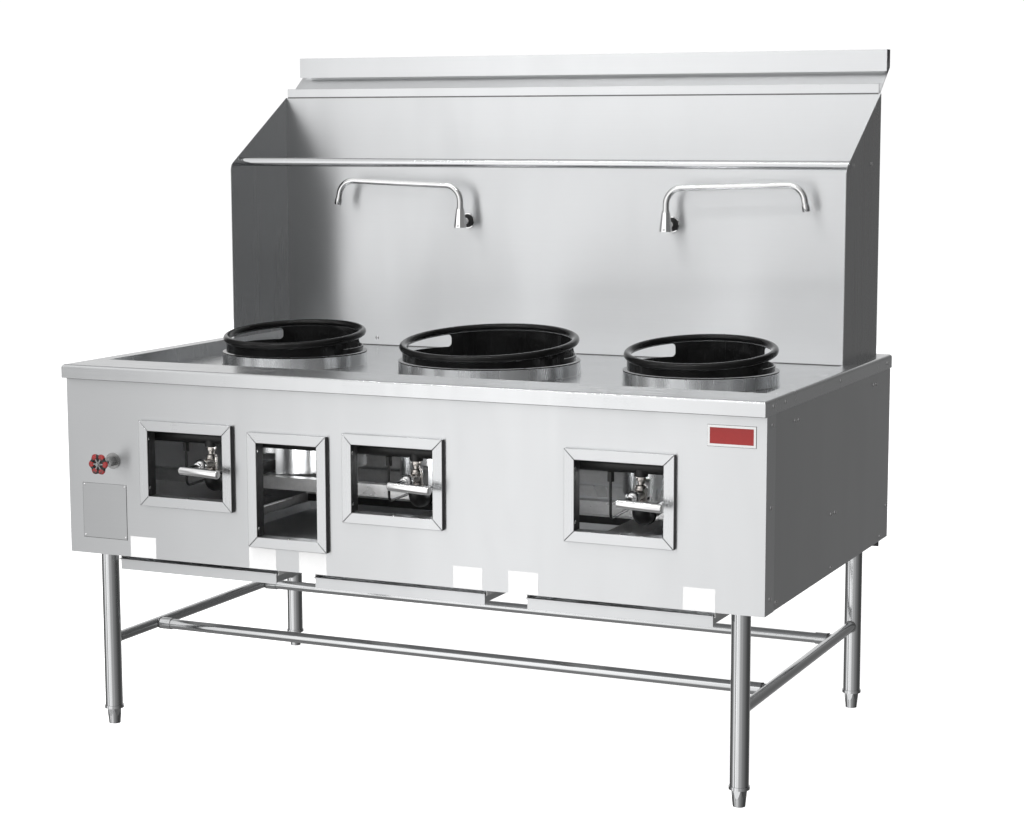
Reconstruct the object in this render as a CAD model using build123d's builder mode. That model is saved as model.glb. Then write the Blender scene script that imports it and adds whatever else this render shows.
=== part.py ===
from build123d import *
import math
import os

# Three-burner wok range: closed stainless cabinet on four tube legs.
# Millimetres. X to the right, Y to the back, Z up from the floor.
# Depths below are measured from the outside face of the front panel;
# save() then moves each piece so that the origin is the middle of the floor area.

os.makedirs("parts", exist_ok=True)

# ---- sheet and general fits ------------------------------------------------
sheet = 1.5              # stainless sheet thickness
fit_gap = 0.3            # gap between pieces that move past each other
run_gap = 0.05           # radial running clearance of a turning stem
through_gap = 0.3        # radial clearance of a fixed part in a sheet hole
seam_gap = 0.02          # butt seam between two bays of the front panel

# ---- cabinet ---------------------------------------------------------------
cab_half = 863.5         # half width over the front panel
cab_depth = 970.0        # front face to rear panel
cab_z0 = 427.0           # bottom edge of the panels
corner_return = 60.0     # front panel folded round the corner
bottom_return = 20.0     # bottom folds of the panels
side_face = cab_half - sheet

# ---- top -------------------------------------------------------------------
rim_half = cab_half + sheet
rim_front = -17.4
rim_rear = cab_depth + 2.0
rim_top = 876.5
rim_skirt = 32.0         # height of the folded rim
rim_z0 = rim_top - rim_skirt
rim_round = 7.0
rim_side = 42.0          # width of the side rims
well_half = rim_half - rim_side   # recessed well between the side rims
well_front = 117.0
well_drop = 34.5
deck_z = rim_top - well_drop      # top of the recessed deck
cap_under = rim_top - sheet
panel_top = rim_top - rim_round - 1.0   # panels end below the rounded rim edge

# ---- burners ---------------------------------------------------------------
burner_x = 4.0           # middle burner, a little right of the cabinet's middle
burner_y = 500.0
burner_pitch = 537.5
collar_h = 28.5
collar_top = deck_z + collar_h
collar_wall = 3.0
skirt_z0 = deck_z - 27.0 # lower end of the wok ring wall
ring_wall = 3.0
ring_tube_r = 8.5
ring_z = deck_z + 72.6   # middle of the tilted rim tube
ring_blank = 60.0        # wall left above the tube middle before it is cut at the tilt
ring_tube_in = 1.0       # rim tube middle inside the wall's outer face
flange_t = 3.0
vent_z0 = deck_z + 44.5  # level lower edge of the side vents in the wok ring wall
vent_drop = 9.5          # sloping upper edge below the tube middle
vent_rear_round = 10.0   # corners of the vents
vent_front_round = 5.5
vent_in = 18.0           # the vent cutter reaches this far inside the wall
vent_out = 12.0          # and this far outside it
# name, x, collar outer radius, tilt of the rim, vent ends (degrees from the right-hand side)
stations = [
    ("left", burner_x - burner_pitch, 180.0, 4.8, (-17.0, 49.5)),
    ("center", burner_x, 218.5, 5.4, (-8.5, 38.0)),
    ("right", burner_x + burner_pitch, 180.0, 5.9, (-17.0, 49.5)),
]
wall_inset = 9.5         # ring wall outside radius below the collar radius
hole_inset = 5.0         # deck hole radius below the collar radius
chamber_wall = 2.0
chamber_z0 = 640.0
bar_z0 = chamber_z0 + 6.0   # cross bar that carries the burner
bar_t = 4.0
bar_w = 30.0
bar_pad = 64.0           # square pad round the burner hub
burner_hub_r = 20.0
burner_hub_z0 = chamber_z0 - 4.0
burner_disc_r = 60.0
burner_disc_t = 14.0
jet_r = 6.5
jet_inner = 23.0         # pitch radius of the inner and outer jets
jet_outer = 46.0
jet_top = 704.0

# ---- gas -------------------------------------------------------------------
valve_dx = 18.0          # valve to the right of its burner middle
gas_y = 78.0
gas_z = 712.0
gas_pipe_r = 16.7        # 1 in pipe
gas_wall = 3.4
gas_bend = 45.0
gas_reach = cab_half - 173.5      # closed end of the manifold, left of the middle
cap_half = 14.0          # cap on the closed end
cap_r = gas_pipe_r + 4.0
valve_z1 = 690.0         # valve body between these levels
valve_z0 = 622.0
branch_r = 15.5          # short branch from the manifold to the valve
nut_flats = 32.0         # union nut below the valve
nut_h = 14.0
plug_flats = 24.0        # hexagon above the valve
plug_h = 26.0
valve_r = 17.0
bonnet_r = 20.0
bonnet_t = 9.0
neck_r = 14.0
stem_in = 38.0           # stem inside the bonnet
drop_pipe_r = 13.35      # 3/4 in pipe
drop_bend = 17.0
elbow_r = 19.0
elbow_bend = 19.5
elbow_run = 40.0
lever_z = 650.0
stem_r = 6.0
stem_collar_r = 9.0
bonnet_y = 20.0
grip_y = -45.0
grip_r = 10.0
grip_from = -8.0
grip_to = 96.0
drop_z = 600.0           # level of the supply pipe run
inlet_x = cab_half - 121.5   # rear gas inlet
inlet_nut_y0 = cab_depth + 4.0    # hexagon behind the rear panel
inlet_nut_y1 = inlet_nut_y0 + 16.0
inlet_nut_flats = 2 * gas_pipe_r + 10
inlet_end = inlet_nut_y1 + 24.0
pilot_dx = -70.0         # pilot tube to the left of the valve
pilot_r = 3.0
pilot_bend = 14.0
pilot_nut_flats = 14.0
pilot_nut_z0 = 674.0
pilot_run_z = drop_z - 8.0
pilot_end_dx = -76.0
pilot_end_dy = -60.0
pilot_end_z = 700.0
rail_flange = 30.0       # cross rails under the supply pipes
rail_t = 3.0
rail_top_z = drop_z - drop_pipe_r - fit_gap
rail_ys = (300.0, 700.0)

# ---- splash back -----------------------------------------------------------
back_y = cab_depth + 0.5
cheek_half = well_half + 2.6
cheek_front = back_y - 289.0
cheek_corner_z = 1328.6
cheek_corner_r = 22.0
cheek_rear_z = 1505.0
lip_half = cheek_half - 5.6
lip_top = 1528.0
lip_back = 12.0          # top edge of the splash back folded to the rear
riser_front = back_y + 66.9
riser_rear = back_y + 96.5
riser_foot_z = lip_top - 66.0     # foot, bend and top bend of the riser's rear sheet
riser_bend_z = lip_top - 28.0
riser_wide_z = lip_top + 42.0
riser_z0 = lip_top + 31.5
riser_top = lip_top + 84.2
rail_y = cheek_front + 56.5
rail_z = 1337.0
rail_r = 11.0

# ---- taps ------------------------------------------------------------------
# name, x, side towards which the spout reaches
taps = [("left", -277.0, -1), ("right", 295.0, 1)]
tap_y = back_y - 50.5
tap_z = 1182.0
tap_body_h = 48.0
tap_body_z0 = tap_z - 16.0
tap_body_top = tap_body_z0 + tap_body_h
tap_body_r = 15.0        # half width across the flats at the lower end
tap_body_taper = 6.3     # degrees, narrower to the top
tap_neck_r = 10.0
rose_r = 20.0            # round rose on the splash back
rose_t = 5.0
spout_in = 22.0          # spout inside the body
spout_r = 8.0
spout_ring_r = 9.6
spout_ring_t = 3.0
spout_z = 1274.0
spout_bend = 42.0
spout_reach = 352.0      # to the corner above the tip
spout_rise = 12.0
tip_lean = 12.0          # the tip stands further out than the corner
tip_bore_r = 6.5
tip_bore = 10.0
spout_end_z = 1221.0
shank_r = 10.0
shank_nut_flats = 30.0
shank_nut_t = 9.0
shank_end = back_y + 33.5

# ---- front panel fittings --------------------------------------------------
trim_w = 24.0            # window trim face
trim_out = 15.0          # trim in front of the panel
sleeve_in = 20.0         # sleeve behind the panel face
cutout_gap = 9.0         # panel cut-out outside the sleeve, covered by the trim
window_dx = 3.5          # window middle to the right of its burner middle
window_w = 244.5
window_h = 201.0
window_z = 653.7
# name, middle x, middle z, width, height over the trim
windows = [
    ("left", burner_x - burner_pitch + window_dx, window_z, window_w, window_h),
    ("tall", -260.4, 611.0, 199.0, 264.3),
    ("center", burner_x + window_dx, window_z, window_w, window_h),
    ("right", burner_x + burner_pitch + window_dx, window_z, window_w, window_h),
]
wheel_x = 126.0 - cab_half
wheel_z = 652.5
wheel_y = -63.0          # front of the handwheel
wheel_nut = 4.0
wheel_nut_flats = 9.0
wheel_t = 8.0
wheel_r = 26.0
wheel_lobe_r = 7.5
wheel_web_r = wheel_r - 4.0
wheel_hole_r = wheel_r - 12.0
wheel_hub_r = 7.5
wheel_spoke_w = 4.5
wheel_stem_r = 4.0
water_rose_r = 19.0      # rose, barrel, hexagon and body of the water valve
water_rose_t = 3.0
water_barrel_r = 12.0
water_hex_flats = 21.0
water_hex_y = -22.0
water_body_r = 17.0
water_body_y0 = 28.0
water_body_y1 = 60.0
water_port_y = 46.0
water_port_r = 14.0
water_port_half = 32.0
plate_x0 = 38.5 - cab_half
plate_w = 122.0
plate_z0 = cab_z0 + 39.0
plate_h = 130.0
plate_t = 0.8
rivet_r = 2.4
rivet_h = 1.4
rivet_inset = 4.5
badge_w = 105.0
badge_inset = 22.5       # right edge of the badge inside the cabinet edge
badge_x0 = cab_half - badge_inset - badge_w
badge_z0 = 777.5
badge_h = 44.0
badge_t = 1.6
badge_border = 5.0
badge_recess = 0.5
label_w = 71.0
label_h = 49.0
label_t = 0.3
label_x = (205.0 - cab_half, -334.2, -202.9, 185.5, 318.8, cab_half - 142.9)

# ---- legs ------------------------------------------------------------------
leg_x = cab_half - 69.8
leg_y_front = 58.0
leg_y_rear = cab_depth - 49.0
leg_r = 20.65            # 1-5/8 in tube
leg_wall = 1.5
foot_h = 37.7
foot_flats = 31.0
foot_low_r = 13.5
foot_high_r = 17.5
foot_thread = 68.0       # length of the foot stem inside the leg
foot_stem_r = 6.3
insert_h = 28.0          # threaded insert in the leg's lower end
leg_collar_h = 7.0
leg_collar_r = 22.8
frame_z0 = cab_z0 + 6.0  # base frame plate
frame_t = 4.0
frame_side = 120.5       # width of the base frame at the sides, front and rear
frame_front = 70.0
frame_rear = cab_depth - 70.0
leg_plate_w = 90.0
leg_plate_t = 4.0
stretcher_r = 12.7       # 1 in tube
stretcher_z = 207.0
cross_y = (248.0, 755.0)
cross_r = stretcher_r - 0.2
sleeve_r = stretcher_r + 1.5
sleeve_from = 44.0       # joint sleeve on the cross tubes, from the leg line
sleeve_to = 15.0

# ---- drip trays ------------------------------------------------------------
tray_x = (burner_x + 11.0 - burner_pitch, burner_x + 1.0, burner_x - 9.0 + burner_pitch)
tray_front_half = 212.5
tray_half = 205.0
tray_z0 = cab_z0 - 36.0
tray_top = cab_z0 - 10.0
tray_y0 = 18.5
tray_rear = cab_depth - 70.0
tray_fold = 9.0          # top edge of the tray front folded forward
lip_z0 = tray_top - 4.7
lip_out = 7.0

# ---- screws ------------------------------------------------------------------
screw_r = 5.0
screw_h = 2.6
# depth and height of each screw on a side
rim_screws = ((37.5, 860.5), (120.0, 860.5), (530.0, 860.0), (cab_depth - 39.0, 859.0))
corner_screws = ((36.0, 822.0), (34.0, 650.0), (32.0, 458.5))
low_screws = ((77.5, 442.0), (483.0, 440.0), (cab_depth - 69.0, 438.5), (cab_depth - 17.0, 506.0))
high_screws = ((197.0, 811.5), (221.0, 810.0), (cab_depth - 150.0, 818.5), (cab_depth - 128.0, 817.5))
middle_screws = ((478.5, 563.3), (509.5, 562.3))
cheek_screws = ((rail_y, rail_z), (back_y - 76.5, rail_z + 1.0))
splash_screw_x = 553.0
splash_screw_z = deck_z + 20.0

middle_y = (riser_rear + wheel_y - wheel_nut) / 2


def save(builder, name):
    builder.part.position += (0, -middle_y, 0)
    builder.part.label = name
    export_step(builder.part, "parts/" + name + ".step")


def block(x0, x1, y0, y1, z0, z1, mode=Mode.ADD):
    with Locations(((x0 + x1) / 2, (y0 + y1) / 2, (z0 + z1) / 2)):
        Box(x1 - x0, y1 - y0, z1 - z0, mode=mode)


def rod(start, end, radius, mode=Mode.ADD):
    run = Vector(*end) - Vector(*start)
    with Locations(Plane(origin=start, z_dir=run)):
        Cylinder(radius, run.length, align=(Align.CENTER, Align.CENTER, Align.MIN), mode=mode)


def hex_rod(start, end, across_flats, mode=Mode.ADD):
    run = Vector(*end) - Vector(*start)
    side = Vector(1, 0, 0) if abs(run.X) < 1e-6 else Vector(0, 1, 0)
    with BuildSketch(Plane(origin=start, x_dir=side, z_dir=run)) as hexagon:
        RegularPolygon(across_flats / 2, 6, major_radius=False)
    extrude(hexagon.sketch, amount=run.length, mode=mode)


def bent_tube(points, radius, bend, bore=0.0):
    with BuildLine() as route:
        FilletPolyline(*points, radius=bend)
    first = Vector(*points[1]) - Vector(*points[0])
    with BuildSketch(Plane(origin=points[0], z_dir=first)) as section:
        Circle(radius)
        if bore:
            Circle(bore, mode=Mode.SUBTRACT)
    sweep(section.sketch, path=route.wire())


def folded_outline(path, thickness):
    """Closed outline of a folded strip: the path and its mitred offset to the left."""
    normals = []
    for (ax, ay), (bx, by) in zip(path, path[1:]):
        length = math.hypot(bx - ax, by - ay)
        normals.append(((ay - by) / length, (bx - ax) / length))
    offset_points = []
    for index, (px, py) in enumerate(path):
        before = normals[max(index - 1, 0)]
        after = normals[min(index, len(normals) - 1)]
        scale = thickness / (1 + before[0] * after[0] + before[1] * after[1])
        offset_points.append((px + scale * (before[0] + after[0]), py + scale * (before[1] + after[1])))
    return list(path) + offset_points[::-1]


# ---- cabinet panels --------------------------------------------------------
with BuildPart() as front_panel:
    block(-cab_half, cab_half, 0, sheet, cab_z0, panel_top)
    for side in (-1, 1):
        inner, outer = sorted((side * (cab_half - sheet), side * cab_half))
        block(inner, outer, sheet, corner_return, cab_z0, panel_top)
    fold_half = cab_half - 2 * sheet
    block(-fold_half, fold_half, sheet, sheet + bottom_return, cab_z0, cab_z0 + sheet)
    for name, wx, wz, ww, wh in windows:
        half_w = ww / 2 - trim_w + sheet + cutout_gap
        half_h = wh / 2 - trim_w + sheet + cutout_gap
        block(wx - half_w, wx + half_w, -1, sheet + 1, wz - half_h, wz + half_h, Mode.SUBTRACT)
    for (name, wx, wz, ww, wh), (next_name, next_x, next_z, next_w, next_h) in zip(windows, windows[1:]):
        seam = (wx + ww / 2 + next_x - next_w / 2) / 2
        seam_y1 = sheet + bottom_return + 1
        block(seam - seam_gap / 2, seam + seam_gap / 2, -1, seam_y1, cab_z0 - 1, panel_top + 1, Mode.SUBTRACT)
    rod((wheel_x, -1, wheel_z), (wheel_x, sheet + 1, wheel_z), water_barrel_r + through_gap, Mode.SUBTRACT)
save(front_panel, "front_panel")

for side, name in ((-1, "left"), (1, "right")):
    with BuildPart() as side_panel:
        inner, outer = sorted((side * (side_face - sheet), side * side_face))
        block(inner, outer, sheet, cab_depth - sheet, cab_z0, panel_top)
        inner, outer = sorted((side * (side_face - sheet - bottom_return), side * (side_face - sheet)))
        fold_from = sheet + bottom_return
        block(inner, outer, fold_from, cab_depth - fold_from, cab_z0, cab_z0 + sheet)
    save(side_panel, "side_panel_" + name)

with BuildPart() as rear_panel:
    block(-side_face, side_face, cab_depth - sheet, cab_depth, cab_z0, deck_z - sheet)
    fold_half = side_face - sheet
    fold_y = cab_depth - sheet - bottom_return
    block(-fold_half, fold_half, fold_y, cab_depth - sheet, cab_z0, cab_z0 + sheet)
    inlet_hole_r = gas_pipe_r + through_gap
    rod((inlet_x, cab_depth - 3, gas_z), (inlet_x, cab_depth + 1, gas_z), inlet_hole_r, Mode.SUBTRACT)
save(rear_panel, "rear_panel")

# ---- top: rim cap and recessed deck in one folded sheet ----------------------
with BuildPart() as deck_top:
    block(-rim_half, rim_half, rim_front, rim_rear, rim_z0, rim_top)
    top_edges = deck_top.faces().sort_by(Axis.Z)[-1].edges()
    fillet(top_edges.sort_by(Axis.Y)[:-1], rim_round)
    offset(amount=-sheet, openings=deck_top.faces().sort_by(Axis.Z)[0])
    block(-well_half, well_half, well_front, rim_rear + 1, cap_under - 1, rim_top + 1, Mode.SUBTRACT)
    block(-cheek_half, cheek_half, back_y, rim_rear + 1, rim_z0 - 1, rim_top + 1, Mode.SUBTRACT)
    for side in (-1, 1):
        inner, outer = sorted((side * well_half, side * (well_half + sheet)))
        block(inner, outer, well_front - sheet, back_y, deck_z - sheet, rim_top)
    block(-well_half, well_half, well_front - sheet, well_front, deck_z - sheet, rim_top)
    floor_half = well_half + sheet
    block(-floor_half, floor_half, well_front - sheet, rim_rear, deck_z - sheet, deck_z)
    for name, x, radius, tilt, vent in stations:
        rod((x, burner_y, deck_z - 5), (x, burner_y, deck_z + 5), radius - hole_inset, Mode.SUBTRACT)
save(deck_top, "deck_top")

# ---- burners, chambers, collars and wok rings --------------------------------
for name, x, radius, tilt, vent in stations:
    with BuildPart() as collar:
        rod((x, burner_y, deck_z), (x, burner_y, collar_top), radius)
        rod((x, burner_y, deck_z), (x, burner_y, collar_top), radius - collar_wall, Mode.SUBTRACT)
    save(collar, "collar_" + name)

    chamber_r = radius - hole_inset + 1.0
    deck_under = deck_z - sheet
    with BuildPart() as chamber:
        rod((x, burner_y, chamber_z0), (x, burner_y, deck_under), chamber_r + chamber_wall)
        rod((x, burner_y, chamber_z0), (x, burner_y, deck_under), chamber_r, Mode.SUBTRACT)
        bar_half = chamber_r + 0.5
        block(x - bar_half, x + bar_half, burner_y - bar_w / 2, burner_y + bar_w / 2, bar_z0, bar_z0 + bar_t)
        rod((x, burner_y, bar_z0 - 1), (x, burner_y, bar_z0 + bar_t + 1), burner_hub_r + 1, Mode.SUBTRACT)
        with Locations((x, burner_y, bar_z0 + bar_t / 2)):
            Box(bar_pad, bar_pad, bar_t)
        hub_hole = burner_hub_r + through_gap
        rod((x, burner_y, bar_z0 - 1), (x, burner_y, bar_z0 + bar_t + 1), hub_hole, Mode.SUBTRACT)
    save(chamber, "chamber_" + name)

    disc_z0 = bar_z0 + bar_t
    disc_top = disc_z0 + burner_disc_t
    with BuildPart() as burner:
        rod((x, burner_y, burner_hub_z0), (x, burner_y, disc_z0), burner_hub_r)
        rod((x, burner_y, disc_z0), (x, burner_y, disc_top), burner_disc_r)
        with BuildSketch(Plane.XY.offset(disc_top)):
            with Locations((x, burner_y)):
                RegularPolygon(jet_r, 6)
                with PolarLocations(jet_inner, 6):
                    RegularPolygon(jet_r, 6)
                with PolarLocations(jet_outer, 12):
                    RegularPolygon(jet_r, 6)
        extrude(amount=jet_top - disc_top)
    save(burner, "burner_" + name)

    wall_r = radius - wall_inset
    lean = math.radians(tilt)
    level = Vector(0, -math.sin(lean), math.cos(lean))
    rim_plane = Plane(origin=(x, burner_y, ring_z), x_dir=(1, 0, 0), z_dir=level)
    fan = [(2 * radius * math.cos(math.radians(a)), 2 * radius * math.sin(math.radians(a)))
           for a in (vent[0], sum(vent) / 2, vent[1])]
    with BuildPart() as vent_cutter:
        with BuildSketch(Plane((x, burner_y, vent_z0))) as vent_foot:
            Circle(wall_r + vent_out)
            Circle(wall_r - vent_in, mode=Mode.SUBTRACT)
            with BuildLine():
                Polyline((0, 0), *fan, close=True)
            make_face(mode=Mode.INTERSECT)
            mirror(about=Plane.YZ)
        extrude(vent_foot.sketch, amount=ring_blank)
        split(bisect_by=rim_plane.offset(-vent_drop), keep=Keep.BOTTOM)
        level_edges = [e for e in vent_cutter.edges().filter_by(GeomType.LINE) if abs(e.tangent_at(0).Z) < 0.5]
        fillet([e for e in level_edges if e.center().Y > burner_y], vent_rear_round)
        level_edges = [e for e in vent_cutter.edges().filter_by(GeomType.LINE) if abs(e.tangent_at(0).Z) < 0.5]
        front_end_y = burner_y + (wall_r - vent_in) * math.sin(math.radians(vent[0])) + 1
        fillet([e for e in level_edges if e.center().Y < front_end_y], vent_front_round)

    with BuildPart() as wok_ring:
        rod((x, burner_y, skirt_z0), (x, burner_y, ring_z + ring_blank), wall_r)
        rod((x, burner_y, skirt_z0), (x, burner_y, ring_z + ring_blank), wall_r - ring_wall, Mode.SUBTRACT)
        split(bisect_by=rim_plane, keep=Keep.BOTTOM)
        with BuildSketch(Plane.XY.offset(collar_top + fit_gap)):
            with Locations((x, burner_y)):
                Circle(radius)
                Circle(wall_r - ring_wall, mode=Mode.SUBTRACT)
        extrude(amount=flange_t)
        with Locations(rim_plane):
            Torus(wall_r - ring_tube_in, ring_tube_r)
        add(vent_cutter.part, mode=Mode.SUBTRACT)
    save(wok_ring, "wok_ring_" + name)

# ---- gas train ---------------------------------------------------------------
with BuildPart() as gas_manifold:
    bent_tube([(-gas_reach, gas_y, gas_z), (inlet_x, gas_y, gas_z), (inlet_x, inlet_end, gas_z)],
              gas_pipe_r, gas_bend, gas_pipe_r - gas_wall)
    rod((-gas_reach - cap_half, gas_y, gas_z), (-gas_reach + cap_half, gas_y, gas_z), cap_r)
    hex_rod((inlet_x, inlet_nut_y0, gas_z), (inlet_x, inlet_nut_y1, gas_z), inlet_nut_flats)
    bore_end = (inlet_x, inlet_nut_y1 + 1, gas_z)
    rod((inlet_x, inlet_nut_y0 - 1, gas_z), bore_end, gas_pipe_r - gas_wall, Mode.SUBTRACT)
    for name, x, radius, tilt, vent in stations:
        rod((x + valve_dx, gas_y, valve_z1), (x + valve_dx, gas_y, gas_z), branch_r)
save(gas_manifold, "gas_manifold")

for name, x, radius, tilt, vent in stations:
    vx = x + valve_dx
    plug_z0 = valve_z1 - plug_h
    nut_z1 = valve_z0 + nut_h
    with BuildPart() as gas_valve:
        hex_rod((vx, gas_y, plug_z0), (vx, gas_y, valve_z1), plug_flats)
        rod((vx, gas_y, nut_z1 - 2), (vx, gas_y, plug_z0 + 2), valve_r)
        hex_rod((vx, gas_y, valve_z0), (vx, gas_y, nut_z1), nut_flats)
        rod((vx, bonnet_y + 1, lever_z), (vx, gas_y, lever_z), neck_r)
        rod((vx, bonnet_y, lever_z), (vx, bonnet_y + bonnet_t, lever_z), bonnet_r)
        rod((vx, bonnet_y - 1, lever_z), (vx, bonnet_y + stem_in + 2, lever_z), stem_r + run_gap, Mode.SUBTRACT)
    save(gas_valve, "gas_valve_" + name)

    with BuildPart() as valve_lever:
        rod((vx, bonnet_y + stem_in, lever_z), (vx, grip_y, lever_z), stem_r)
        rod((vx + grip_from, grip_y, lever_z), (vx + grip_to, grip_y, lever_z), grip_r)
        rod((vx, bonnet_y - 6, lever_z), (vx, bonnet_y - fit_gap, lever_z), stem_collar_r)
    save(valve_lever, "valve_lever_" + name)

    with BuildPart() as supply_pipe:
        run = [(vx, gas_y, valve_z0), (vx, gas_y, drop_z), (x, burner_y, drop_z), (x, burner_y, burner_hub_z0)]
        bent_tube(run, drop_pipe_r, drop_bend)
        drift = valve_dx * elbow_run / (burner_y - gas_y)
        elbow = [(vx, gas_y, valve_z0 - 1), (vx, gas_y, drop_z), (vx - drift, gas_y + elbow_run, drop_z)]
        bent_tube(elbow, elbow_r, elbow_bend)
    save(supply_pipe, "supply_pipe_" + name)

with BuildPart() as pilot_lines:
    for name, x, radius, tilt, vent in stations:
        px = x + valve_dx + pilot_dx
        end_x = x + pilot_end_dx
        end_y = burner_y + pilot_end_dy
        hex_rod((px, gas_y, pilot_nut_z0), (px, gas_y, gas_z - gas_pipe_r - run_gap), pilot_nut_flats)
        pilot = [(px, gas_y, pilot_nut_z0 + 1), (px, gas_y, pilot_run_z), (end_x, end_y, pilot_run_z),
                 (end_x, end_y, pilot_end_z)]
        bent_tube(pilot, pilot_r, pilot_bend)
save(pilot_lines, "pilot_lines")

# ---- windows in the front panel ------------------------------------------------
for name, wx, wz, ww, wh in windows:
    with BuildPart() as window_frame:
        block(wx - ww / 2, wx + ww / 2, -trim_out, 0, wz - wh / 2, wz + wh / 2)
        inner_w = ww / 2 - sheet
        inner_h = wh / 2 - sheet
        block(wx - inner_w, wx + inner_w, -trim_out + sheet, 0, wz - inner_h, wz + inner_h, Mode.SUBTRACT)
        hole_w = ww / 2 - trim_w
        hole_h = wh / 2 - trim_w
        out_w = hole_w + sheet
        out_h = hole_h + sheet
        block(wx - out_w, wx + out_w, -trim_out, sleeve_in, wz - out_h, wz + out_h)
        block(wx - hole_w, wx + hole_w, -trim_out - 1, sleeve_in + 1, wz - hole_h, wz + hole_h, Mode.SUBTRACT)
    save(window_frame, "window_frame_" + name)

# ---- plates and labels ------------------------------------------------------------
with BuildPart() as data_plate:
    block(plate_x0, plate_x0 + plate_w, -plate_t, 0, plate_z0, plate_z0 + plate_h)
    for rx in (plate_x0 + rivet_inset, plate_x0 + plate_w - rivet_inset):
        for rz in (plate_z0 + rivet_inset, plate_z0 + plate_h - rivet_inset):
            rod((rx, -plate_t - rivet_h, rz), (rx, -plate_t, rz), rivet_r)
save(data_plate, "data_plate")

with BuildPart() as badge_plate:
    badge_x1 = badge_x0 + badge_w
    badge_z1 = badge_z0 + badge_h
    field_x0, field_x1 = badge_x0 + badge_border, badge_x1 - badge_border
    field_z0, field_z1 = badge_z0 + badge_border, badge_z1 - badge_border
    field_y = badge_recess - badge_t
    block(badge_x0, badge_x1, -badge_t, 0, badge_z0, badge_z1)
    block(field_x0, field_x1, -badge_t - 1, field_y, field_z0, field_z1, Mode.SUBTRACT)
save(badge_plate, "badge_plate")

with BuildPart() as labels:
    label_z0 = cab_z0 + 0.5
    for lx in label_x:
        block(lx - label_w / 2, lx + label_w / 2, -label_t, 0, label_z0, label_z0 + label_h)
save(labels, "labels")

# ---- water valve and handwheel ---------------------------------------------------
with BuildPart() as water_valve:
    rod((wheel_x, -water_rose_t, wheel_z), (wheel_x, 0, wheel_z), water_rose_r)
    rod((wheel_x, -water_rose_t, wheel_z), (wheel_x, water_body_y0 + 2, wheel_z), water_barrel_r)
    hex_rod((wheel_x, water_hex_y, wheel_z), (wheel_x, -water_rose_t, wheel_z), water_hex_flats)
    rod((wheel_x, water_body_y0, wheel_z), (wheel_x, water_body_y1, wheel_z), water_body_r)
    port_z = wheel_z + water_port_half
    rod((wheel_x, water_port_y, wheel_z - water_port_half), (wheel_x, water_port_y, port_z), water_port_r)
    bore_to = (wheel_x, -water_hex_y, wheel_z)
    rod((wheel_x, water_hex_y - 1, wheel_z), bore_to, wheel_stem_r + run_gap, Mode.SUBTRACT)
save(water_valve, "water_valve")

with BuildPart() as handwheel:
    front = Plane(origin=(wheel_x, wheel_y, wheel_z), x_dir=(1, 0, 0), z_dir=(0, -1, 0))
    with BuildSketch(front.offset(-wheel_t)):
        Circle(wheel_web_r)
        with PolarLocations(wheel_r - wheel_lobe_r, 6):
            Circle(wheel_lobe_r)
        Circle(wheel_hole_r, mode=Mode.SUBTRACT)
        with PolarLocations(0, 3):
            Rectangle(2 * wheel_hole_r + 4, wheel_spoke_w)
        Circle(wheel_hub_r)
    extrude(amount=wheel_t)
    hex_rod((wheel_x, wheel_y - wheel_nut, wheel_z), (wheel_x, wheel_y, wheel_z), wheel_nut_flats)
    rod((wheel_x, wheel_y + wheel_t - 1, wheel_z), (wheel_x, -water_hex_y - 2, wheel_z), wheel_stem_r)
save(handwheel, "handwheel")

# ---- splash back, cheeks, riser and rail --------------------------------------------
with BuildPart() as splash_back:
    with BuildSketch(Plane.XZ.offset(-back_y - sheet)):
        with BuildLine():
            Polyline((-cheek_half, deck_z), (cheek_half, deck_z), (cheek_half, cheek_rear_z),
                     (lip_half, cheek_rear_z), (lip_half, lip_top), (-lip_half, lip_top),
                     (-lip_half, cheek_rear_z), (-cheek_half, cheek_rear_z), close=True)
        make_face()
    extrude(amount=sheet)
    block(-lip_half, lip_half, back_y, back_y + lip_back, lip_top - sheet, lip_top)
    for name, x, side in taps:
        rod((x, back_y - 1, tap_z), (x, back_y + 3, tap_z), shank_r + through_gap, Mode.SUBTRACT)
save(splash_back, "splash_back")

for side, name in ((-1, "left"), (1, "right")):
    inner = cheek_half - sheet if side > 0 else -cheek_half
    with BuildPart() as cheek:
        with BuildSketch(Plane.YZ.offset(inner)) as cheek_face:
            with BuildLine():
                Polyline((cheek_front, rim_top), (back_y, rim_top), (back_y, cheek_rear_z),
                         (cheek_front, cheek_corner_z), close=True)
            make_face()
            front_corner = cheek_face.vertices().group_by(Axis.X)[0].sort_by(Axis.Y)[-1]
            fillet(front_corner, cheek_corner_r)
        extrude(amount=sheet)
    save(cheek, "cheek_" + name)

with BuildPart() as flue_riser:
    inner_rear = riser_rear - sheet
    foot_y = back_y + sheet
    roof_z = riser_top - sheet
    front_y = riser_front + sheet
    path = [(foot_y, riser_foot_z), (foot_y, riser_bend_z), (inner_rear, riser_wide_z), (inner_rear, roof_z),
            (front_y, roof_z), (front_y, riser_z0)]
    outline = folded_outline(path[::-1], sheet)
    with BuildSketch(Plane.YZ.offset(-lip_half)):
        with BuildLine():
            Polyline(*outline, close=True)
        make_face()
    extrude(amount=2 * lip_half)
save(flue_riser, "flue_riser")

with BuildPart() as utensil_rail:
    rail_half = cheek_half - sheet
    rod((-rail_half, rail_y, rail_z), (rail_half, rail_y, rail_z), rail_r)
save(utensil_rail, "utensil_rail")

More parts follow.
